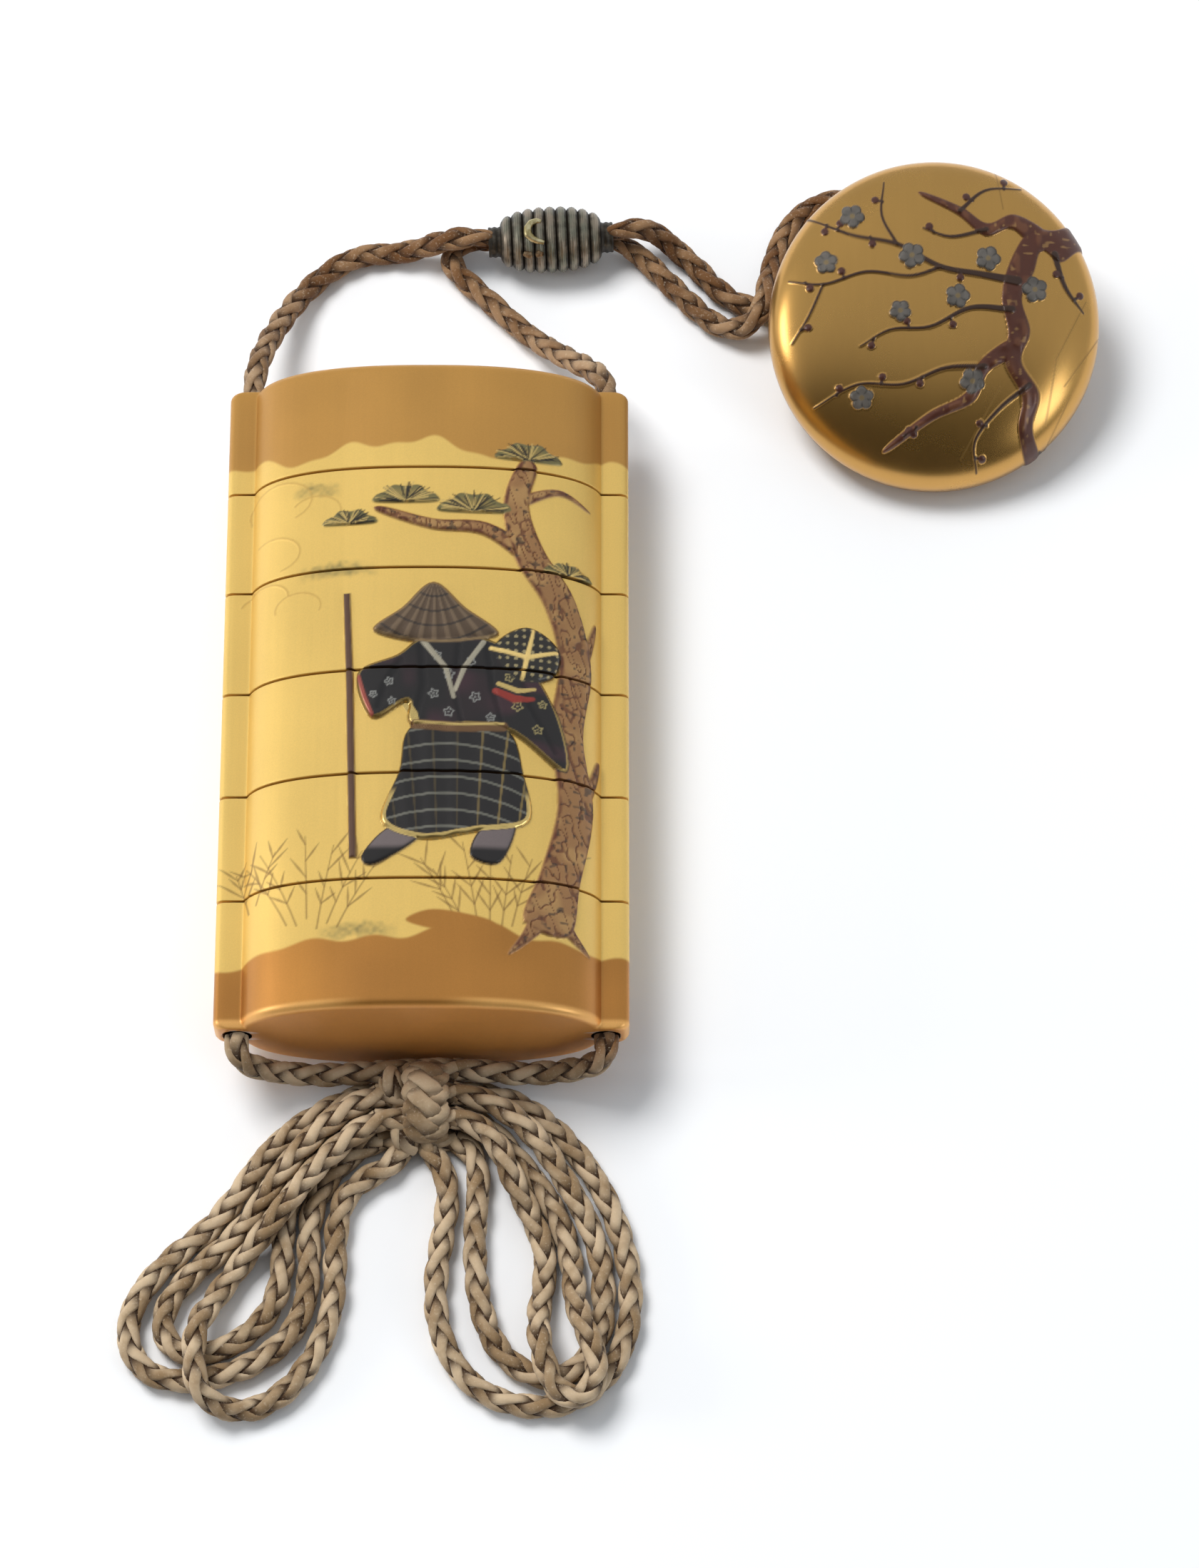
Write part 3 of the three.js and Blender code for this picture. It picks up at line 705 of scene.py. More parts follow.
class Coat:
    """The lacquer over a skin: its thickness, colour, metal and roughness at every point."""

    def __init__(self, x, y, colour=ground_gold, metal=0.5, rough=0.45):
        self.x = x
        self.y = y
        self.thick = np.zeros(x.shape)
        self.colour = np.tile(np.array(colour, float), (len(x), 1))
        self.metal = np.full(x.shape, metal)
        self.rough = np.full(x.shape, rough)

    def near(self, points, margin=1.0):
        low, high = np.min(points, axis=0), np.max(points, axis=0)
        return np.flatnonzero(
            (self.x > low[0] - margin) & (self.x < high[0] + margin)
            & (self.y > low[1] - margin) & (self.y < high[1] + margin)
        )

    def lay(self, at, share, colour, metal=0.5, rough=0.45):
        share = np.clip(share, 0, 1)
        self.colour[at] += (np.array(colour) - self.colour[at]) * share[:, None]
        self.metal[at] += (metal - self.metal[at]) * share
        self.rough[at] += (rough - self.rough[at]) * share

    def build_up(self, at, distance, height, edge=0.5):
        """Raises a shape to a height, rounded over its edge."""
        rise = height * np.sqrt(np.clip(distance / edge, 0, 1) * (2 - np.clip(distance / edge, 0, 1)))
        self.thick[at] = np.maximum(self.thick[at], rise)

    def shape(self, outline, colour, height=0.0, edge=0.5, soft=0.14, **kind):
        """A filled shape; returns its points and how far inside they lie."""
        at = self.near(outline)
        distance = inside(outline, self.x[at], self.y[at])
        self.lay(at, ramp(distance, -soft, soft), colour, **kind)
        if height:
            self.build_up(at, distance, height, edge)
        return at, distance

    def stroke(self, line, colour, height=0.0, soft=0.12, share=1.0, **kind):
        line = np.array(line, float)
        at = self.near(line[:, :2])
        distance = on_stroke(line, self.x[at], self.y[at])
        self.lay(at, share * ramp(distance, -soft, soft * 0.6), colour, **kind)
        if height:
            self.thick[at] += height * ramp(distance, -soft, soft)
        return at, distance


def drawn_band(line):
    """The outline of a band of changing width, as for trunk, branch and staff."""
    p = np.array(line, float)
    ahead = np.vstack([p[1:], p[-1:]])[:, :2] - np.vstack([p[:1], p[:-1]])[:, :2]
    ahead /= np.linalg.norm(ahead, axis=1)[:, None]
    side = np.column_stack([ahead[:, 1], -ahead[:, 0]]) * p[:, 2:3] / 2
    return np.vstack([p[:, :2] + side, (p[:, :2] - side)[::-1]])


def gold_bands(coat):
    """Darker gold sprinkled over the lid and the foot, with waved edges; painted light at the lower end: a
    painted highlight on the foot band left of the middle, lighter gold on the end face, and a painted
    highlight along the rounded edge.
    """
    x, y = coat.x, coat.y
    everywhere = np.arange(len(x))
    wave = 1.0 * np.sin(0.23 * x + 2.2) + 0.7 * np.sin(0.52 * x + 0.8) + 0.3 * np.sin(1.1 * x)
    down = ramp(y - (33.2 + wave), -0.25, 0.25)
    fade = (grain(x, y, 6, 3) * 0.14 + 0.93)[:, None]
    coat.lay(everywhere, down, np.array(top_gold) * fade, rough=0.48)
    bank = 2.2 * np.exp(-(((x - 7) / 6) ** 2)) - 1.3 * ramp(-x, 16, 24) + 0.35 * np.sin(0.8 * x)
    up = ramp((-36.4 + bank) - y, -0.25, 0.25)
    # The foot band's gold is made lighter left of the middle: a painted highlight.
    foot = np.array(foot_gold) * fade * (1 + 0.35 * np.exp(-(((x + 15.5) / 4.5) ** 2)))[:, None]
    coat.lay(everywhere, up, foot, metal=0.68, rough=0.38)
    tongue = rounded([
        [-1.8, -33.9], [1.2, -32.6], [5.4, -33], [9.6, -34.2], [8.8, -36.2], [3.6, -35.5], [0.2, -34.9],
    ])
    at = coat.near(tongue)
    lap = ramp(inside(tongue, x[at], y[at]), -0.2, 0.2)
    coat.lay(at, lap, np.array(foot_gold) * fade[at], metal=0.68, rough=0.38)
    from_end = y + lid_top
    # Painted light: the flat end face gets a lighter gold to lift its shade.
    coat.lay(everywhere, ramp(0.6 - from_end, 0, 0.5), np.array(painted_light_under_gold) * fade, metal=0.4)
    # Painted highlight along the lower end's rounded edge, bright left and right of the middle and absent at
    # it.
    painted_highlight = ramp(from_end, 0.02, 0.2) * ramp(-from_end, -1.5, -0.8) * ramp(np.abs(x + 2), 4, 12)
    coat.lay(everywhere, painted_highlight * 0.9, highlight_gold, metal=0.55, rough=0.4)


def mist(coat):
    """Soft moss-green drifts and faint embossed cloud rings on the gold."""
    for cx, cy, wide in ((-11.5, 15.6, 5.6), (-14.5, 27.6, 3.4), (-8, -35.2, 5.5)):
        at = coat.near([[cx - wide, cy - 2], [cx + wide, cy + 2]])
        u = (coat.x[at] - cx) / wide
        v = (coat.y[at] - cy + 0.5 * u * u) / 0.9
        ragged = 0.8 * grain(coat.x[at], coat.y[at], 0.7, 5)
        drift = np.clip(1 - u * u, 0, 1) * ramp(1.3 - np.abs(v) + ragged, 0.2, 1.5)
        dotted = 0.5 + grain(coat.x[at], coat.y[at], 0.45, 6)
        coat.lay(at, 0.55 * drift * dotted, moss, rough=0.5)
    for cx, cy, r, first, last in (
        (-19.5, 26.5, 3.6, -60, 200), (-14.6, 24.4, 2.8, -30, 150), (-20.5, 19, 3.2, -70, 120),
        (-16.8, 10.8, 2.6, -20, 190), (-21.5, 12.8, 2.8, 0, 160),
    ):
        turn = np.radians(np.linspace(first, last, 16))
        x, y = cx + r * 1.2 * np.cos(turn), cy + r * 0.8 * np.sin(turn)
        coat.stroke(np.column_stack([x, y, np.full(16, 0.2)]), (0.62, 0.38, 0.10), height=0.06, share=0.7)


def grasses(coat):
    """Tufts of reeds in fine brown lines: thin leaning stalks with long pointed leaves in pairs."""
    rng = np.random.default_rng(11)
    for cx, cy, spread, stalks, tall in ((-14, -34, 8, 6, 15), (9, -35, 10, 7, 14.5), (-22, -30, 2, 2, 9)):
        for n in range(stalks):
            off = (n + 0.5) / stalks - 0.5
            foot = cx + off * spread
            lean = 1.15 * off + rng.normal(0, 0.06)
            length = tall * rng.uniform(0.6, 1.0) * (1 - 0.5 * abs(off))
            start = cy + rng.uniform(-1, 1)
            t = np.linspace(0, 1, 6)
            stalk = np.column_stack([foot + length * lean * (t + 0.25 * t**2), start + length * t,
                                     0.2 * (1 - 0.5 * t)])
            coat.stroke(stalk, line_brown, height=0.02, share=0.6)
            for part in np.arange(0.3, 1.0, 0.2):
                root = np.array([foot + length * lean * (part + 0.25 * part**2), start + length * part])
                for side in (-1, 1):
                    if rng.random() < 0.3:
                        continue
                    turn = lean + side * rng.uniform(0.4, 0.85)
                    reach = rng.uniform(2.2, 4.2)
                    tip = root + reach * np.array([math.sin(turn), math.cos(turn)])
                    leaf = [[*root, 0.1], [*((root + tip) / 2), 0.27], [*tip, 0.04]]
                    coat.stroke(leaf, line_brown, height=0.02, share=0.65)


def pine(coat):
    """An old pine up the right side: rust-brown bark, gold between its scales, needle fans above."""
    trunk = rounded(drawn_band([
        [16.2, -34.4, 6], [18, -27, 5.2], [19.9, -17, 4.6], [18.7, -7, 4.4], [19.8, 3, 4.3],
        [17.8, 11.5, 4.4], [13.8, 18, 4.2], [12, 25, 3.4], [13.6, 31, 2.4],
    ]))
    branch = rounded(drawn_band([[14.4, 17.2, 2.4], [8, 21.2, 2], [1, 21.8, 1.6], [-6, 24, 1]]))
    stubs = [rounded(drawn_band(line)) for line in (
        [[15.4, -33.4, 2.2], [13.6, -36.0, 1.5], [11.6, -38.2, 0.5]],
        [[17.8, -32.8, 2.0], [19.8, -35.2, 1.3], [21.6, -37.0, 0.4]],
        [[20.8, -16, 1.6], [22.2, -12.4, 1.1], [22.8, -9.6, 0.5]],
        [[20.6, 3.4, 1.5], [21.8, 7, 1.0], [22.4, 9.8, 0.4]],
        [[12.8, 25.6, 1.5], [17.6, 27.6, 1.0], [21.4, 26.2, 0.4]],
    )]
    for outline, height in [(stub, 0.3) for stub in stubs] + [(branch, 0.4), (trunk, 0.45)]:
        at, distance = coat.shape(outline, bark, height, edge=0.8, rough=0.5)
        x, y = coat.x[at], coat.y[at]
        scales = grain(1.5 * x + 0.5 * y, 0.55 * y - 0.3 * x, 0.9, 7)
        cracks = ramp(np.abs(scales - 0.5), 0.10, 0.03)
        core = ramp(distance, 0, 0.3)
        rim = ramp(0.75 - distance - 0.7 * grain(x, y, 0.9, 15), -0.25, 0.25)
        coat.lay(at, core * ramp(grain(x, y, 2.4, 16), 0.45, 0.8) * 0.7, (0.50, 0.29, 0.11))
        coat.lay(at, core * np.maximum(cracks * 0.8, rim), rust, metal=0.3, rough=0.5)
        coat.lay(at, core * ramp(grain(x, y, 0.5, 8), 0.74, 0.86) * 0.7, ink, metal=0.2, rough=0.5)
        coat.thick[at] += core * (0.08 - 0.16 * cracks)
    rng = np.random.default_rng(4)
    for cx, cy, wide in (
        (6.4, 23.6, 4.8), (-2.6, 25, 4.4), (-10, 22, 3.6), (13.6, 31.6, 4.4), (18.8, 15.6, 3.2),
    ):
        t = np.linspace(0, math.pi, 9)
        reach = wide * np.where(np.arange(9) % 2, 1, 0.86)
        fan = rounded(np.column_stack([cx + reach * np.cos(t), cy + 0.62 * reach * np.sin(t)]))
        at, distance = coat.shape(fan, moss, 0.3, edge=0.7, metal=0.55)
        coat.lay(at, ramp(distance, 0.3, 1.4) * 0.5, (0.45, 0.30, 0.09))
        for _ in range(int(wide * 11)):
            turn = rng.uniform(0.05, math.pi - 0.05)
            out = wide * rng.uniform(0.6, 1.04)
            root = wide * rng.uniform(0, 0.35)
            needle = [[cx + root * math.cos(turn), cy + 0.62 * root * math.sin(turn), 0.16],
                      [cx + out * math.cos(turn), cy + 0.66 * out * math.sin(turn), 0.1]]
            colour, metal = (ink, 0.4) if rng.random() < 0.62 else (bright_gold, 0.95)
            coat.stroke(needle, colour, height=0.04, soft=0.1, share=0.85, metal=metal)


figure_place = np.array([4.6, -0.6])


def placed(points):
    p = np.array(points, float)
    p[:, :2] += figure_place
    return p


def on_figure(coat, at):
    """Where some of the coat's points lie in the traveller's own drawing."""
    return coat.x[at] - figure_place[0], coat.y[at] - figure_place[1]


def traveller(coat):
    """A traveller under a wide sedge hat, in a dark figured robe and a banded skirt."""
    staff = drawn_band(placed([[-14.8, 12.6, 0.9], [-14.2, 0, 1], [-13.4, -24.8, 1]]))
    coat.shape(staff, (0.10, 0.05, 0.03), 0.45, edge=0.4, metal=0.2, rough=0.4)
    for foot in (
        [[-8.6, -20.6], [-12.2, -24.4], [-10.6, -25.8], [-4.8, -22]],
        [[3.2, -20.8], [1.8, -24.6], [5.6, -25.4], [7.6, -19.8]],
    ):
        at, distance = coat.shape(rounded(placed(foot)), (0.17, 0.135, 0.13), 0.5, metal=0.4, rough=0.4)
        on_foot = ramp(distance, 0, 0.1)
        coat.lay(at, on_foot * ramp(0.35 - distance, 0, 0.2), ink, metal=0.2)
        coat.lay(at, on_foot * ramp(figure_place[1] - 23.4 - coat.y[at], -0.4, 0.6), ink, metal=0.3)
    skirt = rounded(placed([
        [-5.6, -6.4], [-7.6, -13], [-9.8, -19.8], [-4.6, -22.4], [2, -21.4], [9.2, -19.6], [8.6, -13],
        [5.8, -6.4],
    ]))
    at, distance = coat.shape(skirt, ink, 0.6, edge=0.7, metal=0.25, rough=0.34)
    x, y = on_figure(coat, at)
    core = ramp(distance, 0.1, 0.35)
    sweep = y + 0.022 * (x + 1.5) ** 2
    hoops = np.cos(2 * math.pi * sweep / 2.3)
    coat.lay(at, core * ramp(hoops, 0.84, 0.96) * 0.6, (0.26, 0.25, 0.20), metal=0.7)
    ribs = np.cos(2 * math.pi * (x - 0.13 * (y + 14) * x / 8) / 2.9)
    gilt = 0.12 + 0.4 * ramp(x, 0, 5)
    coat.lay(at, core * ramp(ribs, 0.93, 0.99) * gilt, (0.40, 0.28, 0.10), metal=0.8)
    hem = ramp(0.75 - distance, 0, 0.15) * ramp(distance, 0.0, 0.12) * ramp(-y, 15, 17)
    coat.lay(at, hem, bright_gold, metal=0.95, rough=0.3)
    coat.thick[at] += core * 0.07 * np.cos(2 * math.pi * (x - 0.12 * (y + 14) * x / 8) / 3.4)
    robe = rounded(placed([
        [-4.4, 6], [-8, 3.6], [-13.2, 1], [-11.2, -5.4], [-6.6, -3.2], [-5.6, -6.6], [5.8, -6.8], [13.8, -12],
        [13, -4.4], [9, 2.6], [3.4, 6],
    ]))
    at, distance = coat.shape(robe, ink, 0.75, edge=0.8, metal=0.25, rough=0.32)
    x, y = on_figure(coat, at)
    core = ramp(distance, 0.15, 0.5)
    coat.lay(at, core * ramp(grain(x, y, 3.2, 9), 0.5, 0.85) * 0.5, (0.075, 0.03, 0.04), metal=0.3)
    coat.lay(at, ramp(0.5 - distance, 0, 0.12) * ramp(distance, 0.05, 0.2), (0.40, 0.27, 0.09), metal=0.9)
    for fold in (
        [[-7.6, 2.6, 0.5], [-9.6, -1, 0.4], [-10.4, -4, 0.2]],
        [[-5, 4.6, 0.5], [-4.6, -1, 0.5], [-5.6, -5.6, 0.3]],
        [[3.6, 4.6, 0.5], [4.4, -1.5, 0.5], [5.6, -6, 0.3]],
        [[7.6, 2, 0.5], [9.2, -3.6, 0.4], [12.4, -9.6, 0.2]],
        [[0, 5, 0.4], [-0.6, -2, 0.4], [0.4, -6, 0.2]],
    ):
        line = placed(fold)
        near = coat.near(line[:, :2])
        # Each fold is sunk into the robe and darkened along it: painted shade in the fold.
        painted_shade = ramp(on_stroke(line, coat.x[near], coat.y[near]), -0.5, 0.1)
        coat.thick[near] -= 0.16 * painted_shade
        coat.lay(near, painted_shade * 0.5, (0.006, 0.005, 0.005), metal=0.2, rough=0.4)
    for cx, cy, r in (
        (-2.8, 3.2, 0.75), (-1.2, 0.6, 0.85), (1.6, 2.4, 0.75), (-3.2, -2.2, 0.8), (2.2, -2.6, 0.85),
        (-1.2, -4.8, 0.8), (6.6, 0.4, 0.75), (7.6, -3.6, 0.85), (10.2, -6.6, 0.8), (4.2, -5.4, 0.7),
        (10.8, -3, 0.65), (-9, -0.4, 0.7), (-8.6, -3.2, 0.6), (-11, -2.2, 0.6), (5.4, 3.4, 0.6),
    ):
        centre = placed([[cx, cy]])[0]
        near = coat.near([centre], r + 0.5)
        u, v = coat.x[near] - centre[0], coat.y[near] - centre[1]
        away = np.hypot(u, v)
        petal = r * (0.8 + 0.2 * np.cos(5 * np.arctan2(v, u) + cx))
        ring = ramp(0.16 - np.abs(away - petal * 0.8), 0, 0.1) + ramp(0.18 - away, 0, 0.1)
        coat.lay(near, ring * 0.85, silver if cx < 6 else (0.45, 0.36, 0.16), metal=0.8, rough=0.3)
        coat.thick[near] += 0.04 * np.clip(ring, 0, 1)
    for line, colour, metal in (
        ([[-6.8, -3.4, 0.9], [-5.8, -5, 1], [-5.4, -6.6, 0.9]], bright_gold, 0.95),
        ([[4.8, -1.6, 0.8], [7.2, -2.6, 1.1], [9.6, -2.4, 0.5]], (0.24, 0.03, 0.02), 0.2),
        ([[5.2, -0.6, 0.5], [7.6, -1.4, 0.6], [9.8, -1, 0.3]], bright_gold, 0.95),
        ([[-4.6, 5.2, 0.7], [-1.6, 1.4, 0.6], [-0.6, -2.6, 0.5]], (0.42, 0.37, 0.27), 0.6),
        ([[3.2, 5.2, 0.6], [0.8, 1.6, 0.6], [-0.4, -1.6, 0.5]], (0.42, 0.37, 0.27), 0.6),
        ([[-5.6, -6.5, 1.2], [0, -6.9, 1.3], [5.8, -6.6, 1.2]], (0.17, 0.09, 0.04), 0.5),
        ([[-5.6, -6.2, 0.25], [0, -6.5, 0.25], [5.8, -6.2, 0.25]], bright_gold, 0.95),
        ([[-13, 0.4, 0.5], [-12.2, -2.4, 0.5], [-11.2, -5, 0.5]], (0.30, 0.07, 0.05), 0.3),
    ):
        coat.stroke(placed(line), colour, height=0.06, metal=metal, rough=0.3)
    bundle = rounded(placed([[4.6, 4.8], [8.8, 8], [13, 5.4], [12.2, 1], [7.4, 0.2]]))
    at, distance = coat.shape(bundle, (0.03, 0.026, 0.022), 0.9, edge=1.2, metal=0.3, rough=0.32)
    x, y = on_figure(coat, at)
    check = np.cos(2 * math.pi * (x + y) / 2.1) * np.cos(2 * math.pi * (x - y) / 2.1)
    coat.lay(at, ramp(distance, 0.1, 0.3) * ramp(check, 0.45, 0.7) * 0.8, (0.50, 0.40, 0.20), metal=0.7)
    coat.stroke(placed([[4.2, 4.4, 0.5], [8.8, 3.4, 0.6], [12.6, 4.6, 0.4]]), bright_gold, height=0.08)
    coat.stroke(placed([[8.2, 0.4, 0.4], [8.8, 3.6, 0.6], [9.6, 7.4, 0.3]]), bright_gold, height=0.08)
    hat = rounded(placed([[-11.2, 7], [-7.4, 10.4], [-3.4, 14], [0.8, 10.4], [5.2, 6.6], [-3, 5]]))
    at, distance = coat.shape(hat, (0.10, 0.065, 0.04), 1.0, edge=2.4, metal=0.35, rough=0.42)
    x, y = on_figure(coat, at)
    down = np.hypot(x + 3.2, (y - 13.6) * 1.15)
    turn = np.arctan2(x + 3.2, 14.4 - y)
    core = ramp(distance, 0.05, 0.3)
    straw = np.cos(turn * 30)
    coat.lay(at, core * ramp(straw, 0.0, 0.9) * 0.55, (0.24, 0.165, 0.10), metal=0.4)
    coat.lay(at, core * ramp(np.cos(2 * math.pi * down / 2.4), 0.82, 0.96) * 0.7, ink, metal=0.2)
    coat.lay(at, ramp(0.5 - distance, 0, 0.15) * ramp(distance, 0.02, 0.15), (0.30, 0.20, 0.10), metal=0.7)
    coat.thick[at] += core * 0.05 * straw


def front_design(x, y):
    coat = Coat(x, y)
    mist(coat)
    grasses(coat)
    gold_bands(coat)
    pine(coat)
    traveller(coat)
    return coat


def back_design(x, y):
    """The back is plainer: the same gold and bands, and one tuft of reeds."""
    coat = Coat(x, y)
    grasses(coat)
    gold_bands(coat)
    return coat


def lacquer_finish(name, gloss, dust):
    """Sprinkled-gold lacquer: the drawn colours under a clear coat, with fine powder and wear."""
    material, tree, surface = finish(name, Coat_Weight=gloss, Coat_Roughness=0.2)
    place = tree.node("ShaderNodeTexCoord", output="Object")
    drawn = tree.stored("drawn", "Color")
    metal = tree.stored("metal")
    rough = tree.stored("rough")
    powder = tree.noise(place, 5200.0, 2.0)
    cloudy = tree.noise(place, 55.0, 4.0)
    stretched = tree.vector("MULTIPLY", place, (1400.0, 55.0, 700.0))
    wiped = tree.noise(stretched, 1.0, 3.0)
    shade = 0.86 + (powder - 0.5) * (0.16 * dust) + cloudy * 0.24 + wiped * 0.06
    feed(tree, surface, "Base Color", tree.scaled(drawn, shade))
    feed(tree, surface, "Metallic", metal)
    feed(tree, surface, "Roughness", rough + (powder - 0.5) * (0.08 * dust) + (cloudy - 0.5) * 0.10)
    emboss(tree, surface, 0.06 * dust, 0.00006, powder)
    return material


gold_lacquer = lacquer_finish("gold_lacquer", gloss=0.12, dust=1.0)


def store(mesh, colour, metal, rough):
    """Writes what the lacquer is at each point where its material reads it."""
    painted = mesh.attributes.new("drawn", "FLOAT_COLOR", "POINT")
    opaque = np.column_stack([colour, np.ones(len(colour))])
    painted.data.foreach_set("color", opaque.astype(np.float32).ravel())
    for name, values in (("metal", metal), ("rough", rough)):
        mesh.attributes.new(name, "FLOAT", "POINT").data.foreach_set("value", values.astype(np.float32))


def skin(rows):
    """The outer skin's rings with their raised lacquer, and the colours of every point."""
    count = len(section)
    y = np.repeat([r[0] for r in rows], count)
    inset = np.repeat([r[1] for r in rows], count)
    flat = np.tile(section, (len(rows), 1))
    front = np.tile(on_front, len(rows))
    thick = np.zeros(len(y))
    colour = np.zeros((len(y), 3))
    metal, rough = np.zeros(len(y)), np.zeros(len(y))
    for side, design in ((front, front_design), (~front, back_design)):
        coat = design(flat[side, 0], y[side])
        thick[side] = coat.thick
        colour[side] = coat.colour
        metal[side] = coat.metal
        rough[side] = coat.rough
    thick *= front
    outward = np.tile(section_outward, (len(rows), 1))
    x = flat[:, 0] * (1 - inset / (case_width / 2)) + outward[:, 0] * thick
    z = mid_z + flat[:, 1] * (1 - inset / mid_z) + outward[:, 1] * thick
    points = np.column_stack([x, y, z]).reshape(len(rows), count, 3)
    return list(points), colour, metal, rough


def tier(name, low, high):
    """One tier, lofted from inside its skirt, over its outside and down into its hollow."""
    is_lid, is_last = name == "lid", name == f"case_{case_count}"
    bottom = low + (0 if is_last else seam_gap / 2)
    head = high - (0 if is_lid else seam_gap / 2)
    foot_round, head_round = (end_round if at_end else seam_bevel for at_end in (is_last, is_lid))
    outer, colour, metal, rough = skin(skin_rows(bottom, head, foot_round, head_round))
    skirt, well = [], []
    if not is_last:
        ceiling = high - end_wall if is_lid else low + socket_depth
        skirt = [lens_ring(socket_size, y) for y in (ceiling, bottom)]
    if not is_lid:
        floor = low + end_wall if is_last else low + socket_depth + floor_wall
        well = [lens_ring(riser_size, y) for y in (head, high + riser_height)]
        well += [lens_ring(hollow_size, y) for y in (high + riser_height, floor)]
    made = solid_of_rings("inro_" + name, [*skirt, *outer, *well], gold_lacquer)
    hidden = (len(skirt) * len(section), len(well) * len(section))
    lining = [np.tile(inside_gold, (count, 1)) for count in hidden]
    store(
        made.data,
        np.vstack([lining[0], colour, lining[1]]),
        np.pad(metal, hidden, constant_values=0.85),
        np.pad(rough, hidden, constant_values=0.4),
    )
    cut_channels(made, painted_light_under_gold if is_last else top_gold)
    smoothed(made)
    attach(made, "root")
    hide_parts(name)


seam = lid_top - lid_height
tier("lid", seam, lid_top)
for number in range(1, case_count + 1):
    high = seam - (number - 1) * case_pitch
    low_end = -lid_top if number == case_count else high - case_pitch
    tier(f"case_{number}", low_end, high)

# ---------------------------------------------------------------- bow knot
# The spare cord is gathered by a turn of the cord itself, pulled flat over the middle of the bow,
# with its tucked ends bulging at the left. The gathered runs pass through under it.
def knot_run(points, pitch=plait_pitch):
    """A short run of the cord inside the knot."""
    path = smooth_route(points)
    return braid("knot_run", path, np.ones(len(path)), pitch)


pulled_pitch = 9.5 * MM
knot_runs = [
    knot_run([
        [-3.9, -48.9, 2.4], [-4.2, -49, 5.2], [-4.2, -50, 6.3], [-3.9, -51.3, 5.4], [-3.5, -51.8, 2.8],
    ]),
    knot_run([[-2.6, -54.2, 3.6], [-2.9, -55.6, 4.4], [-2.4, -57, 3.7], [-1.7, -57.4, 2]]),
]
for left, right in (
    ([-5.9, -48.2, 5], [4.4, -47.9, 5]), ([-5.9, -51.5, 5], [4.4, -51.2, 5]),
    ([-5.9, -54.9, 5], [4.4, -54.5, 5]), ([-5.9, -50, low], [4.4, -50, low]),
    ([-5.9, -53.2, low], [4.4, -53, low]), ([-5.9, -56.5, low], [4.4, -56.6, low]),
    ([-2.7, -58.1, low], [-1.6, -55, 3.2]), ([0.9, -58, low], [0.6, -55, 3.2]),
):
    knot_runs.append(knot_run([left, [(a + b) / 2 for a, b in zip(left, right)], right]))


def pulled_flat(points, widen, thin):
    """A turn of the cord pulled flat: spread sideways and thinned, its plait still showing."""
    made = knot_run(points, pulled_pitch)
    path = smooth_route(points)
    at = np.empty(len(made.data.vertices) * 3)
    made.data.vertices.foreach_get("co", at)
    at = at.reshape(-1, 3)
    nearest = np.argmin(np.linalg.norm(at[:, None, 1:] - path[None, :, 1:], axis=2), axis=1)
    middle = path[nearest]
    flat = middle + (at - middle) * (widen, thin, thin)
    made.data.vertices.foreach_set("co", flat.ravel())
    # The flattened turn is kept out of the silk's painted shade: its over values stay above zero.
    over = np.empty(len(at))
    made.data.attributes["over"].data.foreach_get("value", over)
    made.data.attributes["over"].data.foreach_set("value", np.maximum(over, 0.05))
    return made


knot_runs.append(pulled_flat([
    [0.3, -47.6, 1.9], [0.3, -47.5, 4.8], [0.35, -49.0, 7.0], [0.45, -51.6, 7.9], [0.5, -54.2, 7.2],
    [0.4, -56.3, 4.9], [0.4, -56.6, 1.9],
], widen=1.95, thin=0.7))
with bpy.context.temp_override(active_object=knot_runs[0], selected_editable_objects=knot_runs):
    bpy.ops.object.join()
knot = knot_runs[0]
knot.name = "bow_knot_turns"
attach(knot, "root")
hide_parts("bow_knot")

# ---------------------------------------------------------------- bead
# A barrel bead of dark patinated iron, ringed with ridges and fine cut lines, with plain
# collars at its ends and a small scroll of gold laid into its side.
bead_length = 17.4
bead_radius = 4.65
bead_collar_radius = 2.1
bead_collar = 1.7
bead_bore = 1.6
bead_centre = np.array([16.3, 74.2, bead_radius])
bead_turn = 0.05
bead_taper = 1.6
bead_fullness = 2.6
bead_ribs = 9
groove_depth = 0.55
line_depth = 0.05
bead_sides = 120


def bead_finish():
    """Grey-brown iron: worn pale on the ridges, nearly black in the grooves."""
    material, tree, surface = finish("patinated_iron", Specular_IOR_Level=0.5)
    place = tree.node("ShaderNodeTexCoord", output="Object")
    crest = tree.stored("crest")
    spots = tree.noise(place, 900.0, 4.0)
    worn = (crest + (spots - 0.5) * 0.8).step(0.25, 0.95)
    patches = tree.noise(place, 260.0, 2.0)
    pale = tree.mix(patches.step(0.35, 0.65), (0.20, 0.195, 0.145), (0.31, 0.25, 0.185))
    feed(tree, surface, "Base Color", tree.mix(worn, (0.022, 0.017, 0.011), pale))
    feed(tree, surface, "Metallic", 0.35 + worn * 0.4)
    feed(tree, surface, "Roughness", 0.52 - worn * 0.16 + (spots - 0.5) * 0.2)
    emboss(tree, surface, 0.3, 0.0001, spots)
    return material


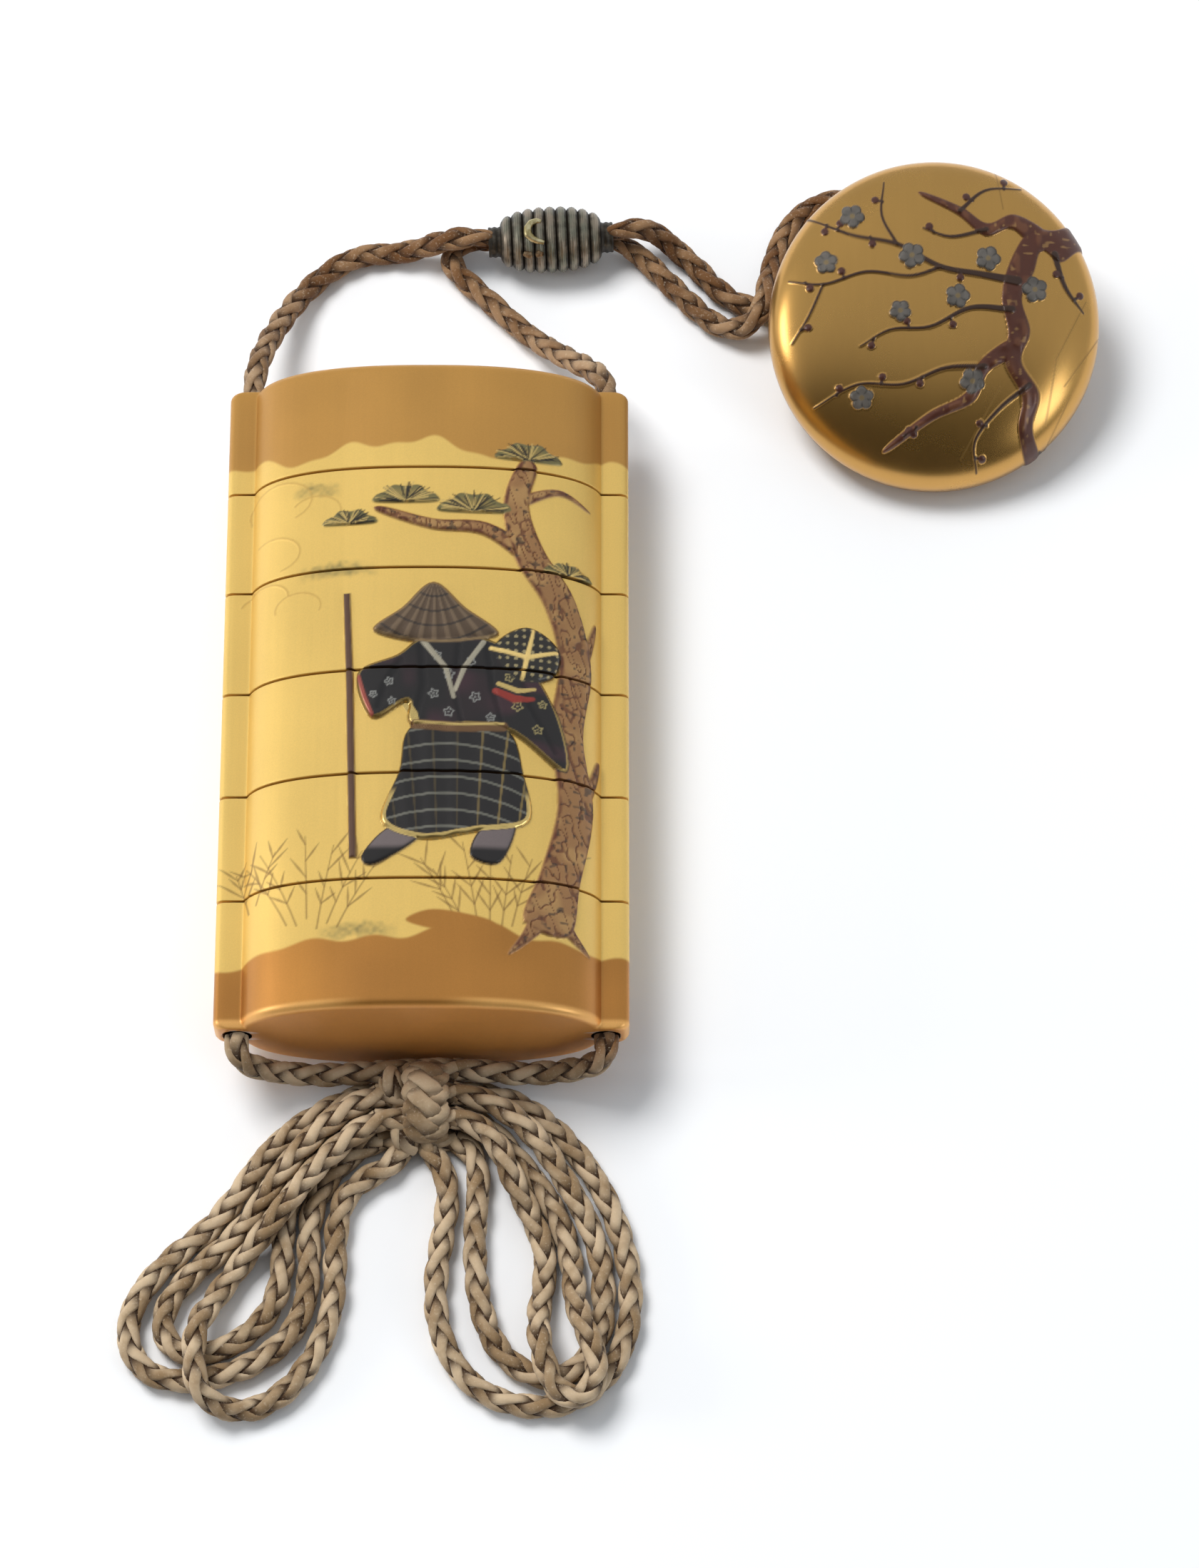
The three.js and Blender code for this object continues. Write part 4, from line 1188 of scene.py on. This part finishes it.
def bead_profile():
    """Distance along the bead, radius and how high on a ridge, from end to end of the outside."""
    along = np.linspace(-bead_length / 2, bead_length / 2, 420)
    barrel_half = bead_length / 2 - bead_collar
    swell = 1 - (np.abs(along) / (barrel_half + bead_taper)) ** bead_fullness
    barrel = bead_radius * np.sqrt(np.clip(swell, 0, 1))
    phase = (along / barrel_half + 1) / 2 * bead_ribs
    ridge = np.abs(np.sin(math.pi * phase)) ** 0.8
    cut = 0.5 + 0.5 * np.cos(2 * math.pi * phase * 5)
    ridged = barrel - groove_depth * (1 - ridge) - line_depth * cut
    radius = np.maximum(ridged, bead_collar_radius + 0.3)
    is_collar = np.abs(along) > barrel_half
    collar = bead_collar_radius - 0.12 * np.clip(np.abs(along) - bead_length / 2 + 0.25, 0, 1) / 0.25
    ringed = 0.06 * np.cos(2 * math.pi * (np.abs(along) - barrel_half) / 0.8)
    radius = np.where(is_collar, collar + ringed, radius)
    return along, radius, np.where(is_collar, 0.35, ridge * (0.75 + 0.25 * (1 - cut)))


def tube_faces(rows, sides):
    """The faces of a tube whose last ring meets its first: rows rings of so many sides."""
    number = np.arange(rows * sides).reshape(rows, sides)
    return ring_faces([*number, number[0]]).tolist()


def make_bead():
    along, radius, crest = bead_profile()
    along = np.concatenate([[along[0]], along, [along[-1]]])
    radius = np.concatenate([[bead_bore], radius, [bead_bore]])
    crest = np.concatenate([[0.1], crest, [0.1]])
    turn = np.linspace(0, 2 * math.pi, bead_sides, endpoint=False)
    ahead = np.array([math.cos(bead_turn), math.sin(bead_turn), 0])
    side = np.array([-math.sin(bead_turn), math.cos(bead_turn), 0])
    up = np.array([0, 0, 1])
    spin = np.cos(turn)[:, None] * side + np.sin(turn)[:, None] * up
    points = (bead_centre + along[:, None, None] * ahead + radius[:, None, None] * spin).reshape(-1, 3)
    made = mesh_object("ojime_bead", points * MM, tube_faces(len(along), bead_sides), bead_finish())
    raised = made.data.attributes.new("crest", "FLOAT", "POINT")
    raised.data.foreach_set("value", np.repeat(crest, bead_sides).astype(np.float32))
    smoothed(made)
    return made, ahead, side, up


bead, bead_ahead, bead_side, bead_up = make_bead()


def bead_inlay(name, lines, thickness, colours):
    """Soft metal worked over the ridges: each line is [along, round, width] points in millimetres."""
    material, tree, surface = finish(name, Metallic=0.9)
    place = tree.node("ShaderNodeTexCoord", output="Object")
    spots = tree.noise(place, 900.0, 3.0)
    feed(tree, surface, "Base Color", tree.mix(spots.step(0.35, 0.7), *colours))
    feed(tree, surface, "Roughness", 0.3 + spots * 0.2)
    curve = bpy.data.curves.new(name, "CURVE")
    curve.dimensions = "3D"
    curve.bevel_depth = thickness * MM
    curve.bevel_resolution = 4
    curve.use_fill_caps = True
    for line in lines:
        line = np.array(line, float)
        share = np.linspace(0, len(line) - 1, 6 * len(line))
        along, round_, wide = (np.interp(share, np.arange(len(line)), line[:, i]) for i in range(3))
        spline = curve.splines.new("POLY")
        spline.points.add(len(share) - 1)
        for point, a, r, w in zip(spline.points, along, round_, wide):
            turn = inlay_turn + r / bead_radius
            out = bead_radius * (1 - (abs(a) / (bead_length / 2)) ** bead_fullness) ** 0.5 - inlay_sunk
            away = math.cos(turn) * bead_up + math.sin(turn) * bead_side
            point.co = (*((bead_centre + a * bead_ahead + out * away) * MM), 1)
            point.radius = w
    route = added(name, curve)
    mesh = plain_mesh(route)
    bpy.data.objects.remove(route)
    mesh.materials.clear()
    mesh.materials.append(material)
    mesh.shade_smooth()
    return added(name, mesh)


inlay_turn = math.radians(-12)
inlay_sunk = 0.15
crescent = bead_inlay("ojime_gold_crescent", [[
    [-1.3, 1.5, 0.7], [-1.9, 1.75, 1], [-2.7, 1.5, 1.1], [-3.2, 0.7, 1.3], [-3.2, -0.3, 1.4],
    [-2.6, -1, 1.2], [-1.8, -1.4, 1], [-1, -1.6, 0.7],
]], thickness=0.42, colours=((0.42, 0.33, 0.14), (0.80, 0.70, 0.42)))
copper = bead_inlay("ojime_copper_drops", [
    [[-3.9, -3.2, 0.7], [-3.2, -3.4, 1.2], [-2.7, -3.3, 0.8]],
    [[-2.1, -3.6, 0.7], [-1.7, -3.2, 1.3], [-1.5, -2.8, 0.8]],
], thickness=0.5, colours=((0.20, 0.12, 0.06), (0.42, 0.31, 0.19)))
for made in (crescent, copper):
    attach(made, "root")
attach(bead, "root")
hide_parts("ojime")

# ---------------------------------------------------------------- toggle
# A bun-shaped toggle of gold lacquer in two halves that meet at a fine joint. It leans on the
# cord that comes out of the hole in its back. A plum bough in raised lacquer crosses its front.
toggle_radius = 22.7
toggle_half = 7.5
toggle_exponent = 2.2
toggle_wall = 2.7
toggle_hole = 4.3
toggle_tilt = math.radians(20)
toggle_centre = np.array([69, 57.5, 10.85])
toggle_grid = 300
toggle_sides = 256
toggle_gold = (0.60, 0.33, 0.088)
plum_bark = (0.085, 0.026, 0.014)
twig_brown = (0.040, 0.018, 0.010)
petal_grey = (0.125, 0.11, 0.094)
toggle_lacquer = lacquer_finish("toggle_lacquer", gloss=0.25, dust=0.15)


def dome(radius, half, share):
    """Radius and height on a dome, for a share of 0 at its rim and 1 at its top."""
    t = share * math.pi / 2
    return radius * np.cos(t) ** (2 / toggle_exponent), half * np.sin(t) ** (2 / toggle_exponent)


def disc_grid(count):
    """A square grid bent into a unit disc, and the grid numbers of its edge, anticlockwise."""
    line = np.linspace(-1, 1, count)
    a, b = np.meshgrid(line, line)
    wide = np.abs(a) > np.abs(b)
    main = np.where(wide, a, b)
    with np.errstate(divide="ignore", invalid="ignore"):
        turn = np.where(wide, math.pi / 4 * b / a, math.pi / 2 - math.pi / 4 * a / b)
    turn = np.nan_to_num(turn)
    u, v = main * np.cos(turn), main * np.sin(turn)
    number = np.arange(count * count).reshape(count, count)
    edge = np.concatenate([number[0, :-1], number[:-1, -1], number[-1, :0:-1], number[:0:-1, 0]])
    return u.ravel(), v.ravel(), number, edge


def bud(coat, x, y, turn, stalk=1.0):
    """A round bud on a short stalk that leaves a twig at (x, y)."""
    tip = np.array([x + stalk * math.cos(turn), y + stalk * math.sin(turn)])
    coat.stroke([[x, y, 0.45], [*tip, 0.3]], twig_brown, height=0.12, metal=0.3, rough=0.4)
    at = coat.near([tip], 1)
    away = np.hypot(coat.x[at] - tip[0], coat.y[at] - tip[1])
    coat.lay(at, ramp(0.55 - away, -0.08, 0.08), (0.07, 0.024, 0.016), metal=0.3, rough=0.4)
    coat.build_up(at, 0.55 - away, 0.3, 0.5)


def blossom(coat, cx, cy, size, spin):
    """A plum flower of five round petals in dull silver, with a fine darker edge."""
    at = coat.near([[cx, cy]], size + 0.8)
    u, v = coat.x[at] - cx, coat.y[at] - cy
    away, turn = np.hypot(u, v), np.arctan2(v, u)
    petal = size * (0.80 + 0.22 * np.abs(np.cos(2.5 * (turn + spin))))
    shade = (0.75 + 0.5 * grain(coat.x[at], coat.y[at], 0.8, 17))[:, None]
    coat.lay(at, ramp(petal - away, -0.1, 0.08), np.array(petal_grey) * shade, metal=0.35, rough=0.5)
    coat.build_up(at, petal - away, 0.36, 0.5)
    vein = ramp(np.abs(np.sin(2.5 * (turn + spin))), 0.94, 1.0) * ramp(away, 0.4, 0.8)
    edge = ramp(0.22 - (petal - away), -0.05, 0.1)
    coat.lay(at, np.maximum(vein, edge) * ramp(petal - away, 0, 0.1) * 0.7, (0.03, 0.027, 0.022), metal=0.4)
    coat.lay(at, ramp(0.42 - away, 0, 0.15) * 0.7, (0.30, 0.21, 0.09), metal=0.8, rough=0.4)


def plum_bough(coat):
    """An old plum bough from the right rim, with thin twigs, buds and silver blossom."""
    bough = drawn_band([
        [24, 9.6, 5.4], [20.4, 12.2, 4.2], [16.8, 10.6, 4.6], [13.6, 11.2, 3.2], [11.6, 7.4, 3.6],
        [10.2, 3.2, 2.8], [11.2, -1.4, 3.1], [10.4, -5.6, 2.3], [12.8, -10, 2.5], [12.2, -14.6, 2],
        [14, -20, 2.1],
    ])
    limb = drawn_band([
        [14.8, 10.8, 3], [10.6, 13.8, 2.2], [6.8, 12.6, 1.9], [3.2, 15.2, 1.3], [-1.8, 17.6, 0.7],
    ])
    low_limb = drawn_band([
        [10.8, -3.4, 2.4], [6.4, -6.2, 1.9], [4.4, -10.4, 1.7], [-0.8, -13, 1.3], [-6.6, -17.2, 0.8],
    ])
    for outline in (limb, low_limb, bough):
        at, distance = coat.shape(rounded(outline), plum_bark, 0.42, edge=0.8, metal=0.35, rough=0.42)
        x, y = coat.x[at], coat.y[at]
        core = ramp(distance, 0.05, 0.5)
        knots = grain(x, y * 0.7, 1.0, 12)
        coat.lay(at, core * ramp(knots, 0.5, 0.8) * 0.6, (0.19, 0.075, 0.034))
        coat.lay(at, core * ramp(grain(x + 9, y, 0.55, 13), 0.78, 0.9) * 0.6, (0.36, 0.20, 0.07))
        coat.thick[at] += core * 0.22 * (knots - 0.5)
    for twig in (
        [
            [11, 5.5, 1.2], [6, 6.4, 0.9], [0.6, 7.4, 0.75], [-5.4, 10.6, 0.6], [-11.6, 12, 0.45],
            [-17.4, 14.6, 0.25],
        ],
        [[0.6, 7.4, 0.5], [-3.4, 6.2, 0.45], [-9.6, 6.8, 0.4], [-15.4, 5.2, 0.35], [-20, 5.8, 0.2]],
        [[-5.4, 10.6, 0.45], [-7.4, 14.6, 0.35], [-7, 19.4, 0.2]],
        [[10.2, 1.6, 0.9], [4.6, 1.8, 0.65], [-1, -0.8, 0.45], [-6.4, -1.2, 0.35], [-10.4, -3.4, 0.2]],
        [[6.4, -6.2, 0.8], [1.2, -6.4, 0.55], [-4.6, -8.6, 0.45], [-10.8, -8.6, 0.35], [-16.6, -11.6, 0.2]],
        [[12.6, -8.6, 0.7], [8.4, -12, 0.5], [5.2, -16.4, 0.35], [5.6, -20.4, 0.2]],
        [[3.2, 15.2, 0.6], [6.8, 18.2, 0.4], [11.8, 18.6, 0.2]],
        [[6.8, 12.6, 0.6], [1.8, 11.6, 0.45], [-1.8, 12.8, 0.25]],
        [[16.2, 9.4, 0.9], [17.6, 5, 0.6], [20.2, 1.4, 0.25]],
        [[-15.4, 5.2, 0.35], [-17.4, 0.8, 0.3], [-19.6, -2.8, 0.15]],
    ):
        coat.stroke(smooth_route(twig, 0.8) / MM, twig_brown, height=0.16, soft=0.15, metal=0.3, rough=0.4)
    for x, y, turn in (
        (-13.4, 12.7, 1.2), (-9, 11.6, -1.3), (-7.3, 16.6, 2.9), (-12.6, 6, 1.9), (-17.8, 5.5, -0.9),
        (-18.4, -1, 0.3), (-3.8, -1, 1.9), (-8.6, -2.4, -1.9), (1.8, 0.4, -1.2), (-13.6, -10, 1.2),
        (-7.6, -8.6, 1.4), (-2, -7.6, -1.9), (-4.4, -15.6, 0.9), (-2.8, -14.4, -1.9), (6.8, -14.2, 2.8),
        (5.3, -18.4, -0.2), (9.4, 18.5, 1.5), (5, 16.7, 2.6), (-0.4, 12.2, 2.2), (18.9, 3.2, 0.6),
        (17.3, 6.2, 2.7), (14.4, -17.4, 0.1), (-14.8, 13.5, -1.9), (3, 6.9, -1.4),
    ):
        bud(coat, x, y, turn)
    for flower in (
        (-11.4, 14.6, 1.7, 0.2), (-15, 8.2, 1.6, 0.9), (-3.4, 9, 1.8, 0.5), (2.8, 3.4, 1.7, 1.2),
        (7, 8.6, 1.75, 0.1), (13.4, 4.4, 1.8, 0.7), (4.8, -8.2, 1.75, 0.4), (-10.2, -10.4, 1.65, 0.9),
        (-5, 1.4, 1.5, 0.3),
    ):
        blossom(coat, *flower)
    for scratch in (
        [[20.6, 3, 0.12], [16.4, -5, 0.14], [15, -14, 0.1]],
        [[22.4, -2, 0.12], [17.6, -8.6, 0.14]],
        [[8.4, 21, 0.1], [9.2, 15.6, 0.12]],
        [[8.6, -9, 0.12], [3.4, -18.6, 0.12]],
        [[18.4, -10, 0.12], [15.2, -17, 0.1]],
    ):
        coat.stroke(scratch, (0.10, 0.05, 0.015), soft=0.12, share=0.5, metal=0.6, rough=0.5)


def toggle_place(points):
    """Turns a toggle half from lying flat at the origin to leaning in its place."""
    c, s = math.cos(toggle_tilt), math.sin(toggle_tilt)
    x, y, z = np.transpose(points)
    return np.column_stack([x, y * c - z * s, y * s + z * c]) + toggle_centre


def toggle_piece(name, points, faces, coat_values, node):
    made = mesh_object(name, toggle_place(points) * MM, faces, toggle_lacquer)
    store(made.data, *coat_values)
    smoothed(made)
    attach(made, "root")
    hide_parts(node)


def even_shares(count):
    """Dome shares, from its top to its rim, that are evenly spaced along its surface."""
    fine = np.linspace(1, 0, 400)
    run = run_along(np.column_stack(dome(toggle_radius, toggle_half, fine)))
    return np.interp(np.linspace(0, run[-1], count), run, fine)


def toggle_front():
    u, v, number, edge = disc_grid(toggle_grid)
    away = np.hypot(u, v)
    share = np.interp(away, np.linspace(0, 1, 400), even_shares(400))
    radius, height = dome(toggle_radius, toggle_half, share)
    radius[away > 0.9999] = toggle_radius
    turn = np.arctan2(v, u)
    x, y = radius * np.cos(turn), radius * np.sin(turn)
    coat = Coat(x, y, toggle_gold, metal=0.92, rough=0.27)
    plum_bough(coat)
    steep = ramp(away, 0.72, 0.98)
    spread = 1 + 0.6 * coat.thick * steep / toggle_radius
    lifted = np.maximum(height, seam_gap / 2) + coat.thick * (1 - steep)
    points = [np.column_stack([x * spread, y * spread, lifted])]
    corners = [number[:-1, :-1], number[:-1, 1:], number[1:, 1:], number[1:, :-1]]
    outside = np.stack(corners, axis=-1).reshape(-1, 4)
    rim = np.column_stack([np.cos(turn), np.sin(turn)])[edge]
    hollow_shares = (0, 0.12, 0.3, 0.5, 0.7, 0.87)
    for share in hollow_shares:
        r, z = dome(toggle_radius - toggle_wall, toggle_half - toggle_wall, share)
        points.append(np.column_stack([rim * r, np.full(len(rim), max(z, seam_gap / 2))]))
    extra = len(hollow_shares) * len(edge)
    rings = [edge, *(len(x) + np.arange(extra).reshape(-1, len(edge)))]
    faces = [*outside.tolist(), *ring_faces(rings).tolist(), rings[-1][::-1].tolist()]
    values = (
        np.vstack([coat.colour, np.tile((0.2, 0.1, 0.03), (extra, 1))]),
        np.pad(coat.metal, (0, extra), constant_values=0.8),
        np.pad(coat.rough, (0, extra), constant_values=0.45),
    )
    toggle_piece("netsuke_front_half", np.vstack(points), faces, values, "netsuke_front")


def toggle_back():
    turn = np.linspace(0, 2 * math.pi, toggle_sides, endpoint=False)
    circle = np.column_stack([np.cos(turn), np.sin(turn)])
    rows = []
    for wall, shares in ((0, np.linspace(0, 1, 60)), (toggle_wall, np.linspace(1, 0, 30))):
        for share in shares:
            r, z = dome(toggle_radius - wall, toggle_half - wall, share)
            if r >= toggle_hole:
                rows.append((r, -max(z, seam_gap / 2)))
            elif rows and abs(rows[-1][0] - toggle_hole) > 0.01:
                rows.append((toggle_hole, -max(z, seam_gap / 2)))
    points = np.vstack([np.column_stack([r * circle, np.full(toggle_sides, z)]) for r, z in rows])
    faces = tube_faces(len(rows), toggle_sides)
    count = len(points)
    values = (np.tile(toggle_gold, (count, 1)), np.full(count, 0.95), np.full(count, 0.32))
    toggle_piece("netsuke_back_half", points, faces, values, "netsuke_back")


toggle_front()
toggle_back()
